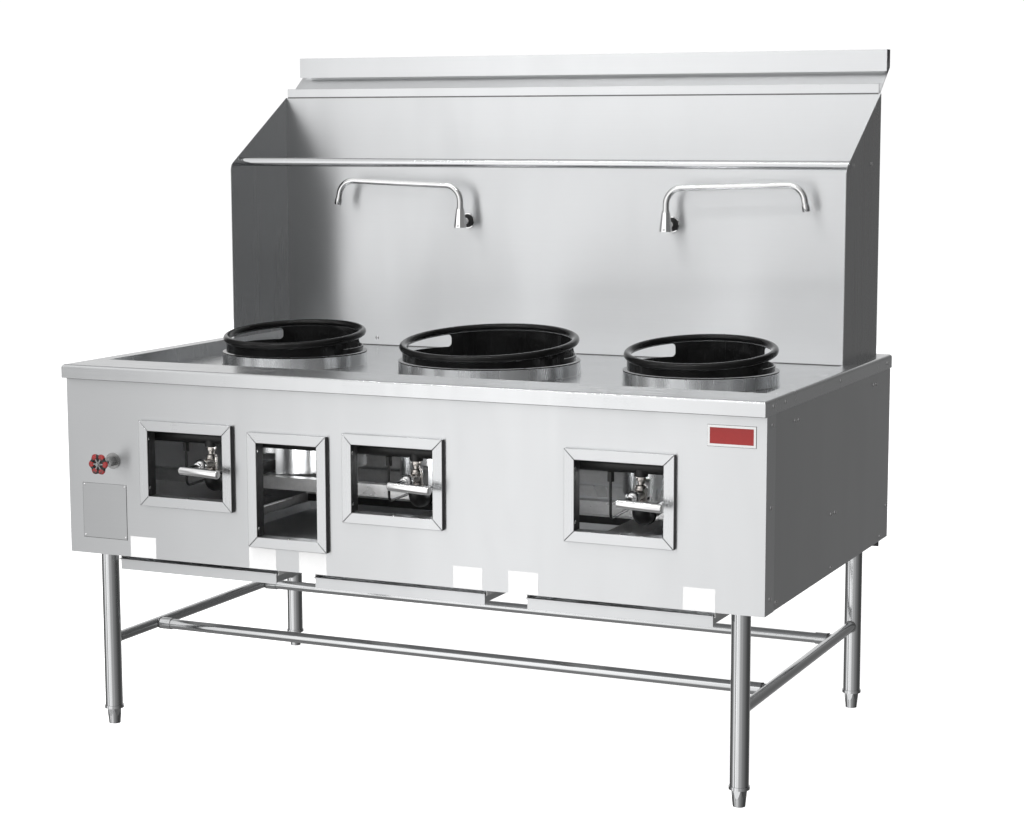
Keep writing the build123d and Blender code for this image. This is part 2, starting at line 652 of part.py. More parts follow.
# ---- taps -------------------------------------------------------------------------
for name, x, side in taps:
    with BuildPart() as tap_body:
        rod((x, back_y - rose_t, tap_z), (x, back_y, tap_z), rose_r)
        rod((x, tap_y, tap_z), (x, back_y - rose_t + 1, tap_z), tap_neck_r)
        with BuildSketch(Plane.XY.offset(tap_body_z0)) as body_foot:
            with Locations((x, tap_y)):
                RegularPolygon(tap_body_r, 8, major_radius=False, rotation=22.5)
        extrude(body_foot.sketch, amount=tap_body_h, taper=tap_body_taper)
        rod((x, back_y - 1, tap_z), (x, shank_end, tap_z), shank_r)
        nut_y = back_y + sheet
        hex_rod((x, nut_y, tap_z), (x, nut_y + shank_nut_t, tap_z), shank_nut_flats)
        socket_z = tap_body_top - spout_in - 2
        rod((x, tap_y, socket_z), (x, tap_y, tap_body_top + 1), spout_r + run_gap, Mode.SUBTRACT)
    save(tap_body, "tap_body_" + name)

    with BuildPart() as tap_spout:
        corner_x = x + side * spout_reach
        tip = corner_x + side * tip_lean
        spout_path = [(x, tap_y, tap_body_top - spout_in), (x, tap_y, spout_z),
                      (corner_x, tap_y, spout_z + spout_rise), (tip, tap_y, spout_end_z)]
        bent_tube(spout_path, spout_r, spout_bend)
        ring_z0 = tap_body_top + fit_gap
        rod((x, tap_y, ring_z0), (x, tap_y, ring_z0 + spout_ring_t), spout_ring_r)
        along = Vector(*spout_path[3]) - Vector(*spout_path[2])
        mouth = Vector(*spout_path[3]) - along.normalized() * tip_bore
        rod(tuple(mouth), spout_path[3], tip_bore_r, Mode.SUBTRACT)
    save(tap_spout, "tap_spout_" + name)

# ---- base frame with tray runners, legs, feet and stretchers --------------------------
frame_half = side_face - sheet
with BuildPart() as base_frame:
    block(-frame_half, frame_half, sheet, cab_depth - sheet, frame_z0, frame_z0 + frame_t)
    open_half = frame_half - frame_side
    block(-open_half, open_half, frame_front, frame_rear, frame_z0 - 1, frame_z0 + frame_t + 1, Mode.SUBTRACT)
    runner_y0 = sheet + bottom_return + 1.5
    runner_y1 = cab_depth - sheet - bottom_return - 2
    web_in = tray_half + lip_out + 2.5
    ledge_in = tray_half + 1.5
    for x in tray_x:
        for side in (-1, 1):
            inner, outer = sorted((x + side * web_in, x + side * (web_in + sheet)))
            block(inner, outer, runner_y0, runner_y1, lip_z0 - fit_gap - sheet, frame_z0)
            inner, outer = sorted((x + side * ledge_in, x + side * web_in))
            block(inner, outer, runner_y0, runner_y1, lip_z0 - fit_gap - sheet, lip_z0 - fit_gap)
    for y in rail_ys:
        block(-frame_half, frame_half, y, y + rail_flange, rail_top_z - rail_t, rail_top_z)
        block(-frame_half, frame_half, y, y + rail_t, rail_top_z - rail_flange, rail_top_z)
save(base_frame, "base_frame")

for name, lx, ly in (("front_left", -leg_x, leg_y_front), ("front_right", leg_x, leg_y_front),
                     ("rear_left", -leg_x, leg_y_rear), ("rear_right", leg_x, leg_y_rear)):
    collar_z0 = foot_h + fit_gap
    tube_z0 = collar_z0 + 2
    insert_z1 = collar_z0 + insert_h
    plate_z = frame_z0 - leg_plate_t
    with BuildPart() as leg:
        rod((lx, ly, tube_z0), (lx, ly, plate_z), leg_r)
        rod((lx, ly, tube_z0), (lx, ly, plate_z), leg_r - leg_wall, Mode.SUBTRACT)
        rod((lx, ly, collar_z0), (lx, ly, collar_z0 + leg_collar_h), leg_collar_r)
        rod((lx, ly, collar_z0), (lx, ly, insert_z1), leg_r - leg_wall + 0.01)
        rod((lx, ly, collar_z0 - 1), (lx, ly, insert_z1 + 1), foot_stem_r + run_gap, Mode.SUBTRACT)
        half = leg_plate_w / 2
        block(lx - half, lx + half, ly - half, ly + half, plate_z, frame_z0)
    save(leg, "leg_" + name)

    with BuildPart() as foot:
        with Locations((lx, ly, 0)):
            Cone(foot_low_r, foot_high_r, foot_h, align=(Align.CENTER, Align.CENTER, Align.MIN))
        hex_rod((lx, ly, -1), (lx, ly, foot_h + 1), foot_flats, Mode.INTERSECT)
        rod((lx, ly, foot_h - 1), (lx, ly, foot_h + foot_thread), foot_stem_r)
    save(foot, "foot_" + name)

with BuildPart() as stretcher_frame:
    for side in (-1, 1):
        x = side * leg_x
        rod((x, leg_y_front, stretcher_z), (x, leg_y_rear, stretcher_z), stretcher_r)
    for y in cross_y:
        rod((-leg_x, y, stretcher_z), (leg_x, y, stretcher_z), cross_r)
        for side in (-1, 1):
            inner, outer = side * (leg_x - sleeve_from), side * (leg_x - sleeve_to)
            rod((inner, y, stretcher_z), (outer, y, stretcher_z), sleeve_r)
    for lx in (-leg_x, leg_x):
        for ly in (leg_y_front, leg_y_rear):
            rod((lx, ly, stretcher_z - sleeve_from), (lx, ly, stretcher_z + sleeve_from), leg_r, Mode.SUBTRACT)
save(stretcher_frame, "stretcher_frame")

# ---- drip trays -----------------------------------------------------------------------
for name, x in zip(("left", "center", "right"), tray_x):
    with BuildPart() as drip_tray:
        block(x - tray_half, x + tray_half, tray_y0, tray_rear, tray_z0, lip_z0 + sheet)
        hollow = tray_half - sheet
        floor_z = tray_z0 + sheet
        block(x - hollow, x + hollow, tray_y0 + sheet, tray_rear - sheet, floor_z, tray_top + 5, Mode.SUBTRACT)
        lip_half_w = tray_half + lip_out
        for side in (-1, 1):
            inner, outer = sorted((x + side * tray_half, x + side * lip_half_w))
            block(inner, outer, tray_y0 + 5, tray_rear, lip_z0, lip_z0 + sheet)
        fx = tray_front_half
        block(x - fx, x + fx, tray_y0, tray_y0 + sheet, tray_z0, tray_top)
        block(x - fx, x + fx, tray_y0 - tray_fold, tray_y0, tray_top - sheet, tray_top)
    save(drip_tray, "drip_tray_" + name)

# ---- screws: heads on the outside of the sheets -------------------------------------------
with BuildPart() as fasteners:
    for side in (-1, 1):
        for face, spots in ((rim_half, rim_screws), (cab_half, corner_screws), (side_face, low_screws),
                            (side_face, high_screws), (side_face, middle_screws), (cheek_half, cheek_screws)):
            for y, z in spots:
                hex_rod((side * face, y, z), (side * (face + screw_h), y, z), 2 * screw_r)
        x = side * splash_screw_x
        rod((x, back_y - screw_h, splash_screw_z), (x, back_y, splash_screw_z), screw_r)
save(fasteners, "fasteners")
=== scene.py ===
import math

import bmesh
import bpy
from mathutils import Matrix, Vector


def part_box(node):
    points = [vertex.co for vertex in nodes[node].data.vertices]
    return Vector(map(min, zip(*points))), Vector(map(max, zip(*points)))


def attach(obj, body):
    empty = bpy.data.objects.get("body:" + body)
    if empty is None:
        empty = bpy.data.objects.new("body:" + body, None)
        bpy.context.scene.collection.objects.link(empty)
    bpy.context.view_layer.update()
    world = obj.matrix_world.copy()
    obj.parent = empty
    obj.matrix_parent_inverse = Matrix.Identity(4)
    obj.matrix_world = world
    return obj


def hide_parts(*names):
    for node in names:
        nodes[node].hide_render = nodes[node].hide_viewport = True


# Studio, materials and finer pieces of the wok range. Metres; X right, Y back, Z up.

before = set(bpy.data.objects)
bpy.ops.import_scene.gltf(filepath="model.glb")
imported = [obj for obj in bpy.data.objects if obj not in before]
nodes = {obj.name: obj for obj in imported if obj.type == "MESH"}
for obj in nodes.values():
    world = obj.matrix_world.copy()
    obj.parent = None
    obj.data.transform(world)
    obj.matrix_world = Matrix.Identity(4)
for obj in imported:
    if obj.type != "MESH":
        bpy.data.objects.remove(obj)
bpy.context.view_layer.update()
scene = bpy.context.scene

SIDES = ("left", "center", "right")
UP = (0, 0, 1)
RIGHT = (1, 0, 0)
BACK = (0, 1, 0)
FORWARD = (0, -1, 0)

FRONT = -0.5             # outside face of the front panel
SPLASH_FACE = 0.4705     # front face of the splash back
LAID = 0.00002           # a piece laid on a sheet ends this far off it
BURNER_X = {"left": -0.5335, "center": 0.004, "right": 0.5415}
VALVE_DX = 0.018         # the gas valves stand this far right of the burners
GAS_Y = FRONT + 0.078    # middle of the gas valves
LEVER_Z = 0.650


# ---- node helpers ------------------------------------------------------------------
class Graph:
    """A short way to write a material's nodes."""

    def __init__(self, name):
        self.mat = bpy.data.materials.new(name)
        self.mat.use_nodes = True
        self.nodes = self.mat.node_tree.nodes
        self.links = self.mat.node_tree.links
        self.bsdf = self.nodes["Principled BSDF"]
        self.coord = self.nodes.new("ShaderNodeTexCoord").outputs["Object"]

    def link(self, source, target):
        self.links.new(source, target)

    def scaled(self, scale):
        node = self.nodes.new("ShaderNodeMapping")
        node.inputs["Scale"].default_value = scale
        self.link(self.coord, node.inputs["Vector"])
        return node.outputs["Vector"]

    def noise(self, scale, detail, rough=0.55, distortion=0.0):
        node = self.nodes.new("ShaderNodeTexNoise")
        self.link(self.scaled(scale), node.inputs["Vector"])
        node.inputs["Scale"].default_value = 1.0
        node.inputs["Detail"].default_value = detail
        node.inputs["Roughness"].default_value = rough
        node.inputs["Distortion"].default_value = distortion
        return node.outputs["Fac"]

    def spread(self, source, low, high, first=0.3, last=0.7):
        """Runs from low to high while the source runs from first to last."""
        node = self.nodes.new("ShaderNodeMapRange")
        self.link(source, node.inputs["Value"])
        node.inputs["From Min"].default_value = first
        node.inputs["From Max"].default_value = last
        node.inputs["To Min"].default_value = low
        node.inputs["To Max"].default_value = high
        return node.outputs["Result"]

    def ramp(self, source, *stops):
        node = self.nodes.new("ShaderNodeValToRGB")
        self.link(source, node.inputs["Fac"])
        band = node.color_ramp
        while len(band.elements) < len(stops):
            band.elements.new(0.5)
        for element, (place, colour) in zip(band.elements, stops):
            element.position = place
            element.color = (*colour, 1.0)
        return node.outputs["Color"]

    def blend(self, factor, first, second, mode="MIX"):
        node = self.nodes.new("ShaderNodeMix")
        node.data_type = "RGBA"
        node.blend_type = mode
        if isinstance(factor, float):
            node.inputs["Factor"].default_value = factor
        else:
            self.link(factor, node.inputs["Factor"])
        self.link(first, node.inputs["A"])
        self.link(second, node.inputs["B"])
        return node.outputs["Result"]

    def bump(self, source, strength, distance):
        node = self.nodes.new("ShaderNodeBump")
        node.inputs["Strength"].default_value = strength
        node.inputs["Distance"].default_value = distance
        self.link(source, node.inputs["Height"])
        return node.outputs["Normal"]

    def vector(self, operation, source, constant):
        node = self.nodes.new("ShaderNodeVectorMath")
        node.operation = operation
        self.link(source, node.inputs[0])
        node.inputs[1].default_value = constant
        return node.outputs["Vector"]


def grey(value, warm=0.0):
    return (value * (1 + warm), value, value * (1 - warm))


BLACK, WHITE = grey(0.0), grey(1.0)
SMUDGE_SCALE = (3.1, 2.3, 2.7)
WIPE_SCALE = (9.0, 9.0, 1.6)
GRAIN_DEPTH = 0.0003
# Keeps the tangent from vanishing where a face looks along the grain.
TANGENT_NUDGE = (0.003, 0.011, 0.017)


def brushed(name, tint, rough, grain, strength=0.12, spread=0.05, warm=0.0,
            along=None, stretch=0.0, turn=0.0):
    """Brushed metal: fine streaks along the long axis of the grain, faint smudges and dull patches.

    Where the grain runs along one direction, it stretches the reflections across that direction."""
    g = Graph(name)
    streak = g.noise(grain, 4.0, 0.65)
    smudge = g.noise(SMUDGE_SCALE, 4.0, 0.6, 0.6)
    wipe = g.noise(WIPE_SCALE, 3.0, 0.5, 1.2)
    streaked = g.ramp(streak, (0.25, grey(tint * 0.98, warm)), (0.75, grey(tint * 1.01, warm)))
    patches = g.ramp(smudge, (0.3, grey(0.975)), (0.7, WHITE))
    g.link(g.blend(1.0, streaked, patches, "MULTIPLY"), g.bsdf.inputs["Base Color"])
    fine = g.ramp(streak, (0.2, BLACK), (0.8, WHITE))
    coarse = g.ramp(wipe, (0.3, BLACK), (0.7, WHITE))
    dull = g.spread(g.blend(0.45, fine, coarse), rough - spread, rough + spread, 0.2, 0.8)
    g.link(dull, g.bsdf.inputs["Roughness"])
    g.link(g.bump(streak, strength, GRAIN_DEPTH), g.bsdf.inputs["Normal"])
    g.bsdf.inputs["Metallic"].default_value = 1.0
    if along is not None:
        normal = g.nodes.new("ShaderNodeNewGeometry").outputs["Normal"]
        across = g.vector("CROSS_PRODUCT", normal, along)
        g.link(g.vector("ADD", across, TANGENT_NUDGE), g.bsdf.inputs["Tangent"])
        g.bsdf.inputs["Anisotropic"].default_value = stretch
        g.bsdf.inputs["Anisotropic Rotation"].default_value = turn
    return g.mat


def coated(name, dark, light, rough, spread, scale, strength, distance,
           metallic=0.0, coat=0.0, wear=None, worn_from=0.66, shine=0.5):
    """Paint, enamel, casting or paper: mottled colour, uneven gloss and a fine relief."""
    g = Graph(name)
    mottle = g.noise((scale,) * 3, 5.0, 0.6)
    broad = g.noise((scale * 0.13,) * 3, 3.0, 0.5, 0.8)
    spots = g.ramp(mottle, (0.3, dark), (0.7, light))
    clouds = g.ramp(broad, (0.3, dark), (0.7, light))
    colour = g.blend(0.4, spots, clouds)
    if wear is not None:
        worn = g.noise((scale * 0.5,) * 3, 6.0, 0.7, 0.4)
        bare = g.ramp(mottle, (0.3, wear), (0.8, wear))
        colour = g.blend(g.spread(worn, 0.0, 1.0, worn_from, worn_from + 0.06), colour, bare)
    g.link(colour, g.bsdf.inputs["Base Color"])
    g.link(g.spread(broad, rough - spread, rough + spread), g.bsdf.inputs["Roughness"])
    g.link(g.bump(mottle, strength, distance), g.bsdf.inputs["Normal"])
    g.bsdf.inputs["Metallic"].default_value = metallic
    g.bsdf.inputs["Specular IOR Level"].default_value = shine
    if coat:
        g.bsdf.inputs["Coat Weight"].default_value = coat
        g.bsdf.inputs["Coat Roughness"].default_value = 0.06
    return g.mat


# ---- materials: name, tint or two tones, roughness, then grain or scale, relief and the rest ---------
COOL = -0.012            # the steel is a touch bluish
LEVEL_GRAIN = (5.0, 900.0, 900.0)
UPRIGHT_GRAIN = (900.0, 900.0, 5.0)
ROLLED_GRAIN = (48.0, 48.0, 1.0)

sheet_wide = brushed("sheet_brushed_across", 0.69, 0.34, LEVEL_GRAIN, 0.03, 0.025, COOL, RIGHT, 0.85)
sheet_back = brushed("sheet_splash_back", 0.68, 0.36, LEVEL_GRAIN, 0.03, 0.03, COOL, RIGHT, 0.88)
sheet_tall = brushed("sheet_cheek", 0.36, 0.26, (700.0, 700.0, 5.0), 0.04, 0.03, COOL)
sheet_deck = brushed("sheet_deck", 0.66, 0.24, (6.0, 500.0, 500.0), 0.04, 0.04, COOL, RIGHT, 0.6)
sheet_side = brushed("sheet_side", 0.58, 0.30, (900.0, 900.0, 6.0), 0.03, 0.02, COOL)
sheet_rolled = brushed("sheet_rolled", 0.78, 0.26, ROLLED_GRAIN, 0.42, 0.06, COOL, UP, 0.8, 0.25)
trim_wide = brushed("trim_brushed_across", 0.67, 0.30, LEVEL_GRAIN, 0.04, 0.03, COOL, RIGHT, 0.7)
trim_tall = brushed("trim_brushed_upright", 0.65, 0.26, UPRIGHT_GRAIN, 0.06, 0.03, COOL)
tube_steel = brushed("tube_satin", 0.62, 0.12, (900.0, 900.0, 40.0), 0.08, 0.04, COOL)
tube_level = brushed("tube_satin_level", 0.62, 0.12, (60.0, 60.0, 900.0), 0.08, 0.04, COOL)
screw_steel = brushed("screw_steel", 0.68, 0.18, (700.0, 700.0, 700.0), 0.10)
rivet_metal = brushed("rivet_metal", 0.95, 0.34, (900.0, 900.0, 900.0), 0.06)
chrome = brushed("chrome_plate", 0.80, 0.07, (160.0, 160.0, 160.0), 0.03, 0.03)
valve_metal = brushed("valve_plated_brass", 0.62, 0.16, (300.0, 300.0, 300.0), 0.05, 0.05, 0.06)
bare_plate = brushed("bare_data_plate", 0.61, 0.34, LEVEL_GRAIN, 0.0, 0.02, COOL, RIGHT, 0.85)

dark_metal = coated("dark_plated_metal", grey(0.22), grey(0.40), 0.30, 0.08, 300.0, 0.10, 0.0004, 0.9)
galvanised = coated("galvanised_sheet", grey(0.46), grey(0.60), 0.34, 0.08, 90.0, 0.06, 0.0004, 0.7)
enamel = coated(
    "black_gloss_enamel", grey(0.003), grey(0.006), 0.10, 0.04, 130.0, 0.04, 0.0004, shine=0.24)
casting = coated(
    "burner_casting", grey(0.030, 0.05), grey(0.075, 0.08), 0.62, 0.1, 260.0, 0.55, 0.0012,
    metallic=0.3, wear=(0.11, 0.07, 0.045))
pipe_black = coated(
    "pipe_black_oxide", grey(0.010), grey(0.026), 0.36, 0.08, 220.0, 0.20, 0.0006, 0.35)
fitting_black = coated(
    "fitting_black_casting", grey(0.008), grey(0.022), 0.38, 0.08, 420.0, 0.30, 0.0008, 0.35)
red_paint = coated(
    "red_wheel_paint", (0.14, 0.008, 0.008), (0.27, 0.016, 0.016), 0.38, 0.08, 150.0, 0.35, 0.0008,
    coat=0.1, wear=(0.030, 0.026, 0.026), worn_from=0.53)
red_field = coated(
    "red_badge_field", (0.20, 0.008, 0.008), (0.23, 0.011, 0.010), 0.45, 0.05, 160.0, 0.04, 0.0002)
paper = coated("label_paper", grey(0.57), grey(0.61), 0.62, 0.05, 700.0, 0.10, 0.0003)
seam = coated("seam_weld", grey(0.22), grey(0.42), 0.36, 0.08, 900.0, 0.40, 0.0006, 0.95)
# Dark line: a real seam at the splash back's foot, and painted shadow under the hem and under the rim's
# skirt.
dark_seam_and_painted_shadow = coated("dark_seam_and_painted_shadow", grey(0.10), grey(0.16), 0.50, 0.08, 60.0, 0.05, 0.0003, 0.3)
# Near-black sheet that stands for shade: painted shade on the sides of the window bars and sleeves, on
# the tray stop and in the lines round the plates.
painted_shade_steel = coated("painted_shade_sheet", grey(0.020), grey(0.045), 0.42, 0.10, 60.0, 0.10, 0.0005, 0.6)

paint = {
    "front_panel": sheet_wide,
    "side_panel_left": sheet_side,
    "side_panel_right": sheet_side,
    "rear_panel": sheet_side,
    "deck_top": sheet_deck,
    "splash_back": sheet_back,
    "cheek_left": sheet_tall,
    "cheek_right": sheet_tall,
    "flue_riser": sheet_wide,
    "base_frame": galvanised,
    "utensil_rail": tube_level,
    "gas_manifold": pipe_black,
    "pilot_lines": pipe_black,
    "water_valve": dark_metal,
    "handwheel": red_paint,
    "data_plate": bare_plate,
    "badge_plate": screw_steel,
    "labels": paper,
    "stretcher_frame": tube_level,
    "fasteners": screw_steel,
    "window_frame_tall": sheet_wide,
}
for side in SIDES:
    paint["wok_ring_" + side] = enamel
    paint["collar_" + side] = sheet_rolled
    paint["chamber_" + side] = sheet_rolled
    paint["burner_" + side] = casting
    paint["supply_pipe_" + side] = pipe_black
    paint["gas_valve_" + side] = chrome
    paint["valve_lever_" + side] = chrome
    paint["window_frame_" + side] = sheet_wide
    paint["drip_tray_" + side] = sheet_wide
for side in ("left", "right"):
    paint["tap_body_" + side] = chrome
    paint["tap_spout_" + side] = chrome
for corner in ("front_left", "front_right", "rear_left", "rear_right"):
    paint["leg_" + corner] = tube_steel
    paint["foot_" + corner] = tube_steel
for name, node in nodes.items():
    node.data.materials.clear()
    node.data.materials.append(paint[name])

# The rings would darken the splash back's foot if it mirrored them.
for side in SIDES:
    nodes["wok_ring_" + side].visible_glossy = False


# ---- mesh helpers --------------------------------------------------------------------
def add_mesh(name, bm, material, body, bevel=0.0, smooth=35.0):
    """Makes a visible piece of the mesh, on a body."""
    mesh = bpy.data.meshes.new(name)
    bmesh.ops.recalc_face_normals(bm, faces=bm.faces)
    bm.to_mesh(mesh)
    bm.free()
    piece = bpy.data.objects.new(name, mesh)
    scene.collection.objects.link(piece)
    mesh.materials.append(material)
    if bevel:
        edge = piece.modifiers.new("edge", "BEVEL")
        edge.width = bevel
        edge.segments = 2
        edge.limit_method = "ANGLE"
    mesh.shade_smooth()
    mesh.set_sharp_from_angle(angle=math.radians(smooth))
    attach(piece, body)
    return piece


def turned(bm, origin, axis, profile, steps=40):
    """Solid of revolution; profile is (distance along the axis, radius) from one end to the other."""
    axis = Vector(axis).normalized()
    across = axis.orthogonal().normalized()
    if abs(axis.z) < 0.5:
        across = Vector(UP).cross(axis).normalized()
    other = axis.cross(across)
    rings = []
    for along, radius in profile:
        ring = []
        for k in range(steps):
            turn = 2 * math.pi * (k + 0.5) / steps
            out = across * math.cos(turn) + other * math.sin(turn)
            ring.append(bm.verts.new(Vector(origin) + axis * along + out * max(radius, 1e-5)))
        rings.append(ring)
    for low, high in zip(rings, rings[1:]):
        for k in range(steps):
            bm.faces.new((low[k], low[(k + 1) % steps], high[(k + 1) % steps], high[k]))
    bm.faces.new(rings[0][::-1])
    bm.faces.new(rings[-1])


def domed(length, radius, round_end, steps=6):
    """Profile of a bar with both ends rounded."""
    points = []
    for k in range(steps + 1):
        turn = math.pi / 2 * k / steps
        points.append((round_end * (1 - math.cos(turn)), radius - round_end + round_end * math.sin(turn)))
    start = [(0.0, 0.0)] + points
    finish = [(length - a, r) for a, r in points[::-1]] + [(length, 0.0)]
    return start + finish


def slab(bm, x0, x1, y0, y1, z0, z1):
    corners = [bm.verts.new((x, y, z)) for z in (z0, z1) for y in (y0, y1) for x in (x0, x1)]
    for face in ((0, 2, 3, 1), (4, 5, 7, 6), (0, 1, 5, 4), (2, 6, 7, 3), (0, 4, 6, 2), (1, 3, 7, 5)):
        bm.faces.new([corners[k] for k in face])


def prism(bm, points, depth):
    """Solid from a flat outline and the vector it is pushed along."""
    low = [bm.verts.new(Vector(p)) for p in points]
    high = [bm.verts.new(Vector(p) + Vector(depth)) for p in points]
    bm.faces.new(low[::-1])
    bm.faces.new(high)
    for k in range(len(points)):
        n = (k + 1) % len(points)
        bm.faces.new((low[k], low[n], high[n], high[k]))


def close_loops(bm, loops):
    """Skin over a closed row of closed loops."""
    sides = len(loops[0])
    for k in range(len(loops)):
        here, there = loops[k], loops[(k + 1) % len(loops)]
        for j in range(sides):
            bm.faces.new((here[j], here[(j + 1) % sides], there[(j + 1) % sides], there[j]))


def ring_bead(bm, origin, axis, radius, thick, steps=48, wobble=0.0):
    """A round bead laid in a circle, with the faint ripples of a weld."""
    axis = Vector(axis).normalized()
    across = axis.orthogonal().normalized()
    other = axis.cross(across)
    loops = []
    for k in range(steps):
        turn = 2 * math.pi * k / steps
        out = across * math.cos(turn) + other * math.sin(turn)
        size = thick * (1 + wobble * math.sin(turn * steps / 2 + 1.3))
        loop = []
        for a in (math.radians(60 * j) for j in range(6)):
            spot = Vector(origin) + out * (radius + size * math.cos(a)) + axis * size * math.sin(a)
            loop.append(bm.verts.new(spot))
        loops.append(loop)
    close_loops(bm, loops)


def screw_head(bm, place, out, radius, height):
    """Pan head with a crossed recess."""
    profile = (
        (0.0, radius), (height * 0.45, radius), (height * 0.8, radius * 0.86),
        (height, radius * 0.55), (height, radius * 0.3), (height * 0.45, radius * 0.22),
    )
    turned(bm, place, out, profile, 24)
    out = Vector(out).normalized()
    across = out.orthogonal().normalized()
    other = out.cross(across)
    near = Vector(place) + out * height * 0.8
    for first, second in ((across, other), (other, across)):
        for sign in (-1, 1):
            tip = near + first * sign * radius * 0.62
            root = near + first * sign * radius * 0.2
            wide = second * radius * 0.12
            prism(bm, [root - wide, tip - wide, tip + wide, root + wide], out * height * 0.22)


def second_material(piece, material, test):
    """Gives another material to the faces that the test picks."""
    piece.data.materials.append(material)
    for face in piece.data.polygons:
        if test(face):
            face.material_index = 1


def node_box(name):
    low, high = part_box(name)
    return low, high, (low + high) / 2


def replace(piece, *names):
    """Hides the nodes of these names; the piece, which stands in their place, is not used."""
    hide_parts(*names)


# ---- window frames: four mitred bars and the sleeve behind them, with painted shade on their sides ---
TRIM = 0.024             # face of a bar
TRIM_OUT = 0.011         # a bar stands this far off the panel
TRIM_LEFT = 0.005        # the left bar starts this far outside the plain frame
TRIM_GAP = 0.0001        # the back of a bar stays this far off the panel
TRIM_EDGE = 0.0011       # rounding of a bar's edges
MITRE = 0.00035          # a bar ends this far short of the mitre line
SLEEVE = 0.0015
SLEEVE_SCREW = 0.019     # sleeve screws from the corners of the opening
SLEEVE_SCREW_Y = FRONT - 0.0055
SLEEVE_SCREW_R = 0.0036
SLEEVE_SCREW_H = 0.0016
MOSTLY = 0.9             # a face looks along an axis when its normal has this much of it


def mitred_bars(bm, outer, inner, y0, y1, upright):
    """The two upright or the two level bars of a frame."""
    x0, x1, z0, z1 = outer
    u0, u1, w0, w1 = inner
    m = MITRE
    if upright:
        first = ((x0, z0 + m), (x0, z1 - m), (u0, w1 - m), (u0, w0 + m))
        second = ((x1, z0 + m), (u1, w0 + m), (u1, w1 - m), (x1, z1 - m))
    else:
        first = ((x0 + m, z0), (u0 + m, w0), (u1 - m, w0), (x1 - m, z0))
        second = ((x0 + m, z1), (x1 - m, z1), (u1 - m, w1), (u0 + m, w1))
    for outline in (first, second):
        prism(bm, [(x, y0, z) for x, z in outline], (0, y1 - y0, 0))


for name in ("left", "tall", "center", "right"):
    low, high, middle = node_box("window_frame_" + name)
    outer = (low.x - TRIM_LEFT, high.x, low.z, high.z)
    inner = (outer[0] + TRIM, outer[1] - TRIM, outer[2] + TRIM, outer[3] - TRIM)
    u0, u1, w0, w1 = inner
    for upright, word, material in ((False, "level_", trim_wide), (True, "upright_", trim_tall)):
        bm = bmesh.new()
        mitred_bars(bm, outer, inner, FRONT - TRIM_OUT, FRONT - TRIM_GAP, upright)
        full_name = "window_bars_" + word + name
        piece = add_mesh(full_name, bm, material, "cabinet", TRIM_EDGE)
        if upright:
            # The bars' sideways faces take the near-black sheet: painted shade.
            second_material(piece, painted_shade_steel, lambda face: abs(face.normal.x) > MOSTLY)
        else:
            replace(piece, "window_frame_" + name)
    bm = bmesh.new()
    slab(bm, u0 - SLEEVE, u0, FRONT, high.y, w0, w1)
    slab(bm, u1, u1 + SLEEVE, FRONT, high.y, w0, w1)
    slab(bm, u0 - SLEEVE, u1 + SLEEVE, FRONT, high.y, w0 - SLEEVE, w0)
    slab(bm, u0 - SLEEVE, u1 + SLEEVE, FRONT, high.y, w1, w1 + SLEEVE)
    # The sleeve's upright sides take the near-black sheet and its level faces take the trim steel:
    # painted shade on the upright sides.
    piece = add_mesh("window_sleeve_" + name, bm, painted_shade_steel, "cabinet", 0.0002)
    second_material(piece, trim_wide, lambda face: abs(face.normal.z) > MOSTLY)
    bm = bmesh.new()
    for x, out in ((u0, 1), (u1, -1)):
        for z in (w0 + SLEEVE_SCREW, w1 - SLEEVE_SCREW):
            screw_head(bm, (x, SLEEVE_SCREW_Y, z), (out, 0, 0), SLEEVE_SCREW_R, SLEEVE_SCREW_H)
    screw_head(bm, (middle.x, SLEEVE_SCREW_Y, w0), UP, SLEEVE_SCREW_R, SLEEVE_SCREW_H)
    add_mesh("window_screws_" + name, bm, screw_steel, "cabinet")

# ---- gas valves, levers and elbows ----------------------------------------------------------
# Profiles with their radii: the first three by height over the floor, the others from where they start.
UNION_NUT = (
    (0.6895, 0.0082), (0.6895, 0.0104), (0.6885, 0.0112), (0.6805, 0.0112), (0.6795, 0.0104),
    (0.6795, 0.0060),
)
VALVE_BARREL = (
    (0.680, 0.0078), (0.672, 0.0078), (0.670, 0.0120), (0.666, 0.0128), (0.664, 0.0142),
    (0.637, 0.0142), (0.635, 0.0125),
)
LOWER_NUT = (
    (0.636, 0.0120), (0.636, 0.0165), (0.6345, 0.0180), (0.6235, 0.0180), (0.622, 0.0165),
    (0.622, 0.0100),
)
PLUG_HOUSING = ((0.0, 0.0125), (0.036, 0.0125), (0.037, 0.0108), (0.043, 0.0108), (0.044, 0.0130))
BONNET = (
    (0.0, 0.0135), (0.003, 0.0155), (0.007, 0.0155), (0.011, 0.0140), (0.0140, 0.0105),
    (0.0158, 0.0070),
)
LEVER_COLLAR = ((0.0, 0.0072), (0.0008, 0.0086), (0.0048, 0.0086), (0.0056, 0.0072))
BONNET_DEPTH = 0.016
LEVER_COLLAR_Y = FRONT + 0.0135
STEM_R = 0.0060
GRIP_R = 0.010
GRIP_END = 0.0042        # rounding of the grip's ends
GRIP_SHORT = 0.0015      # the grip starts this far inside the plain one
GRIP_DROOP = math.radians(2.5)
ELBOW_R = 0.0192
ELBOW_Z = 0.600
ELBOW_TOP = 0.6205
ELBOW_REACH = 0.0385     # from the elbow's middle to its end towards the burner
ELBOW_BEAD = 0.0026

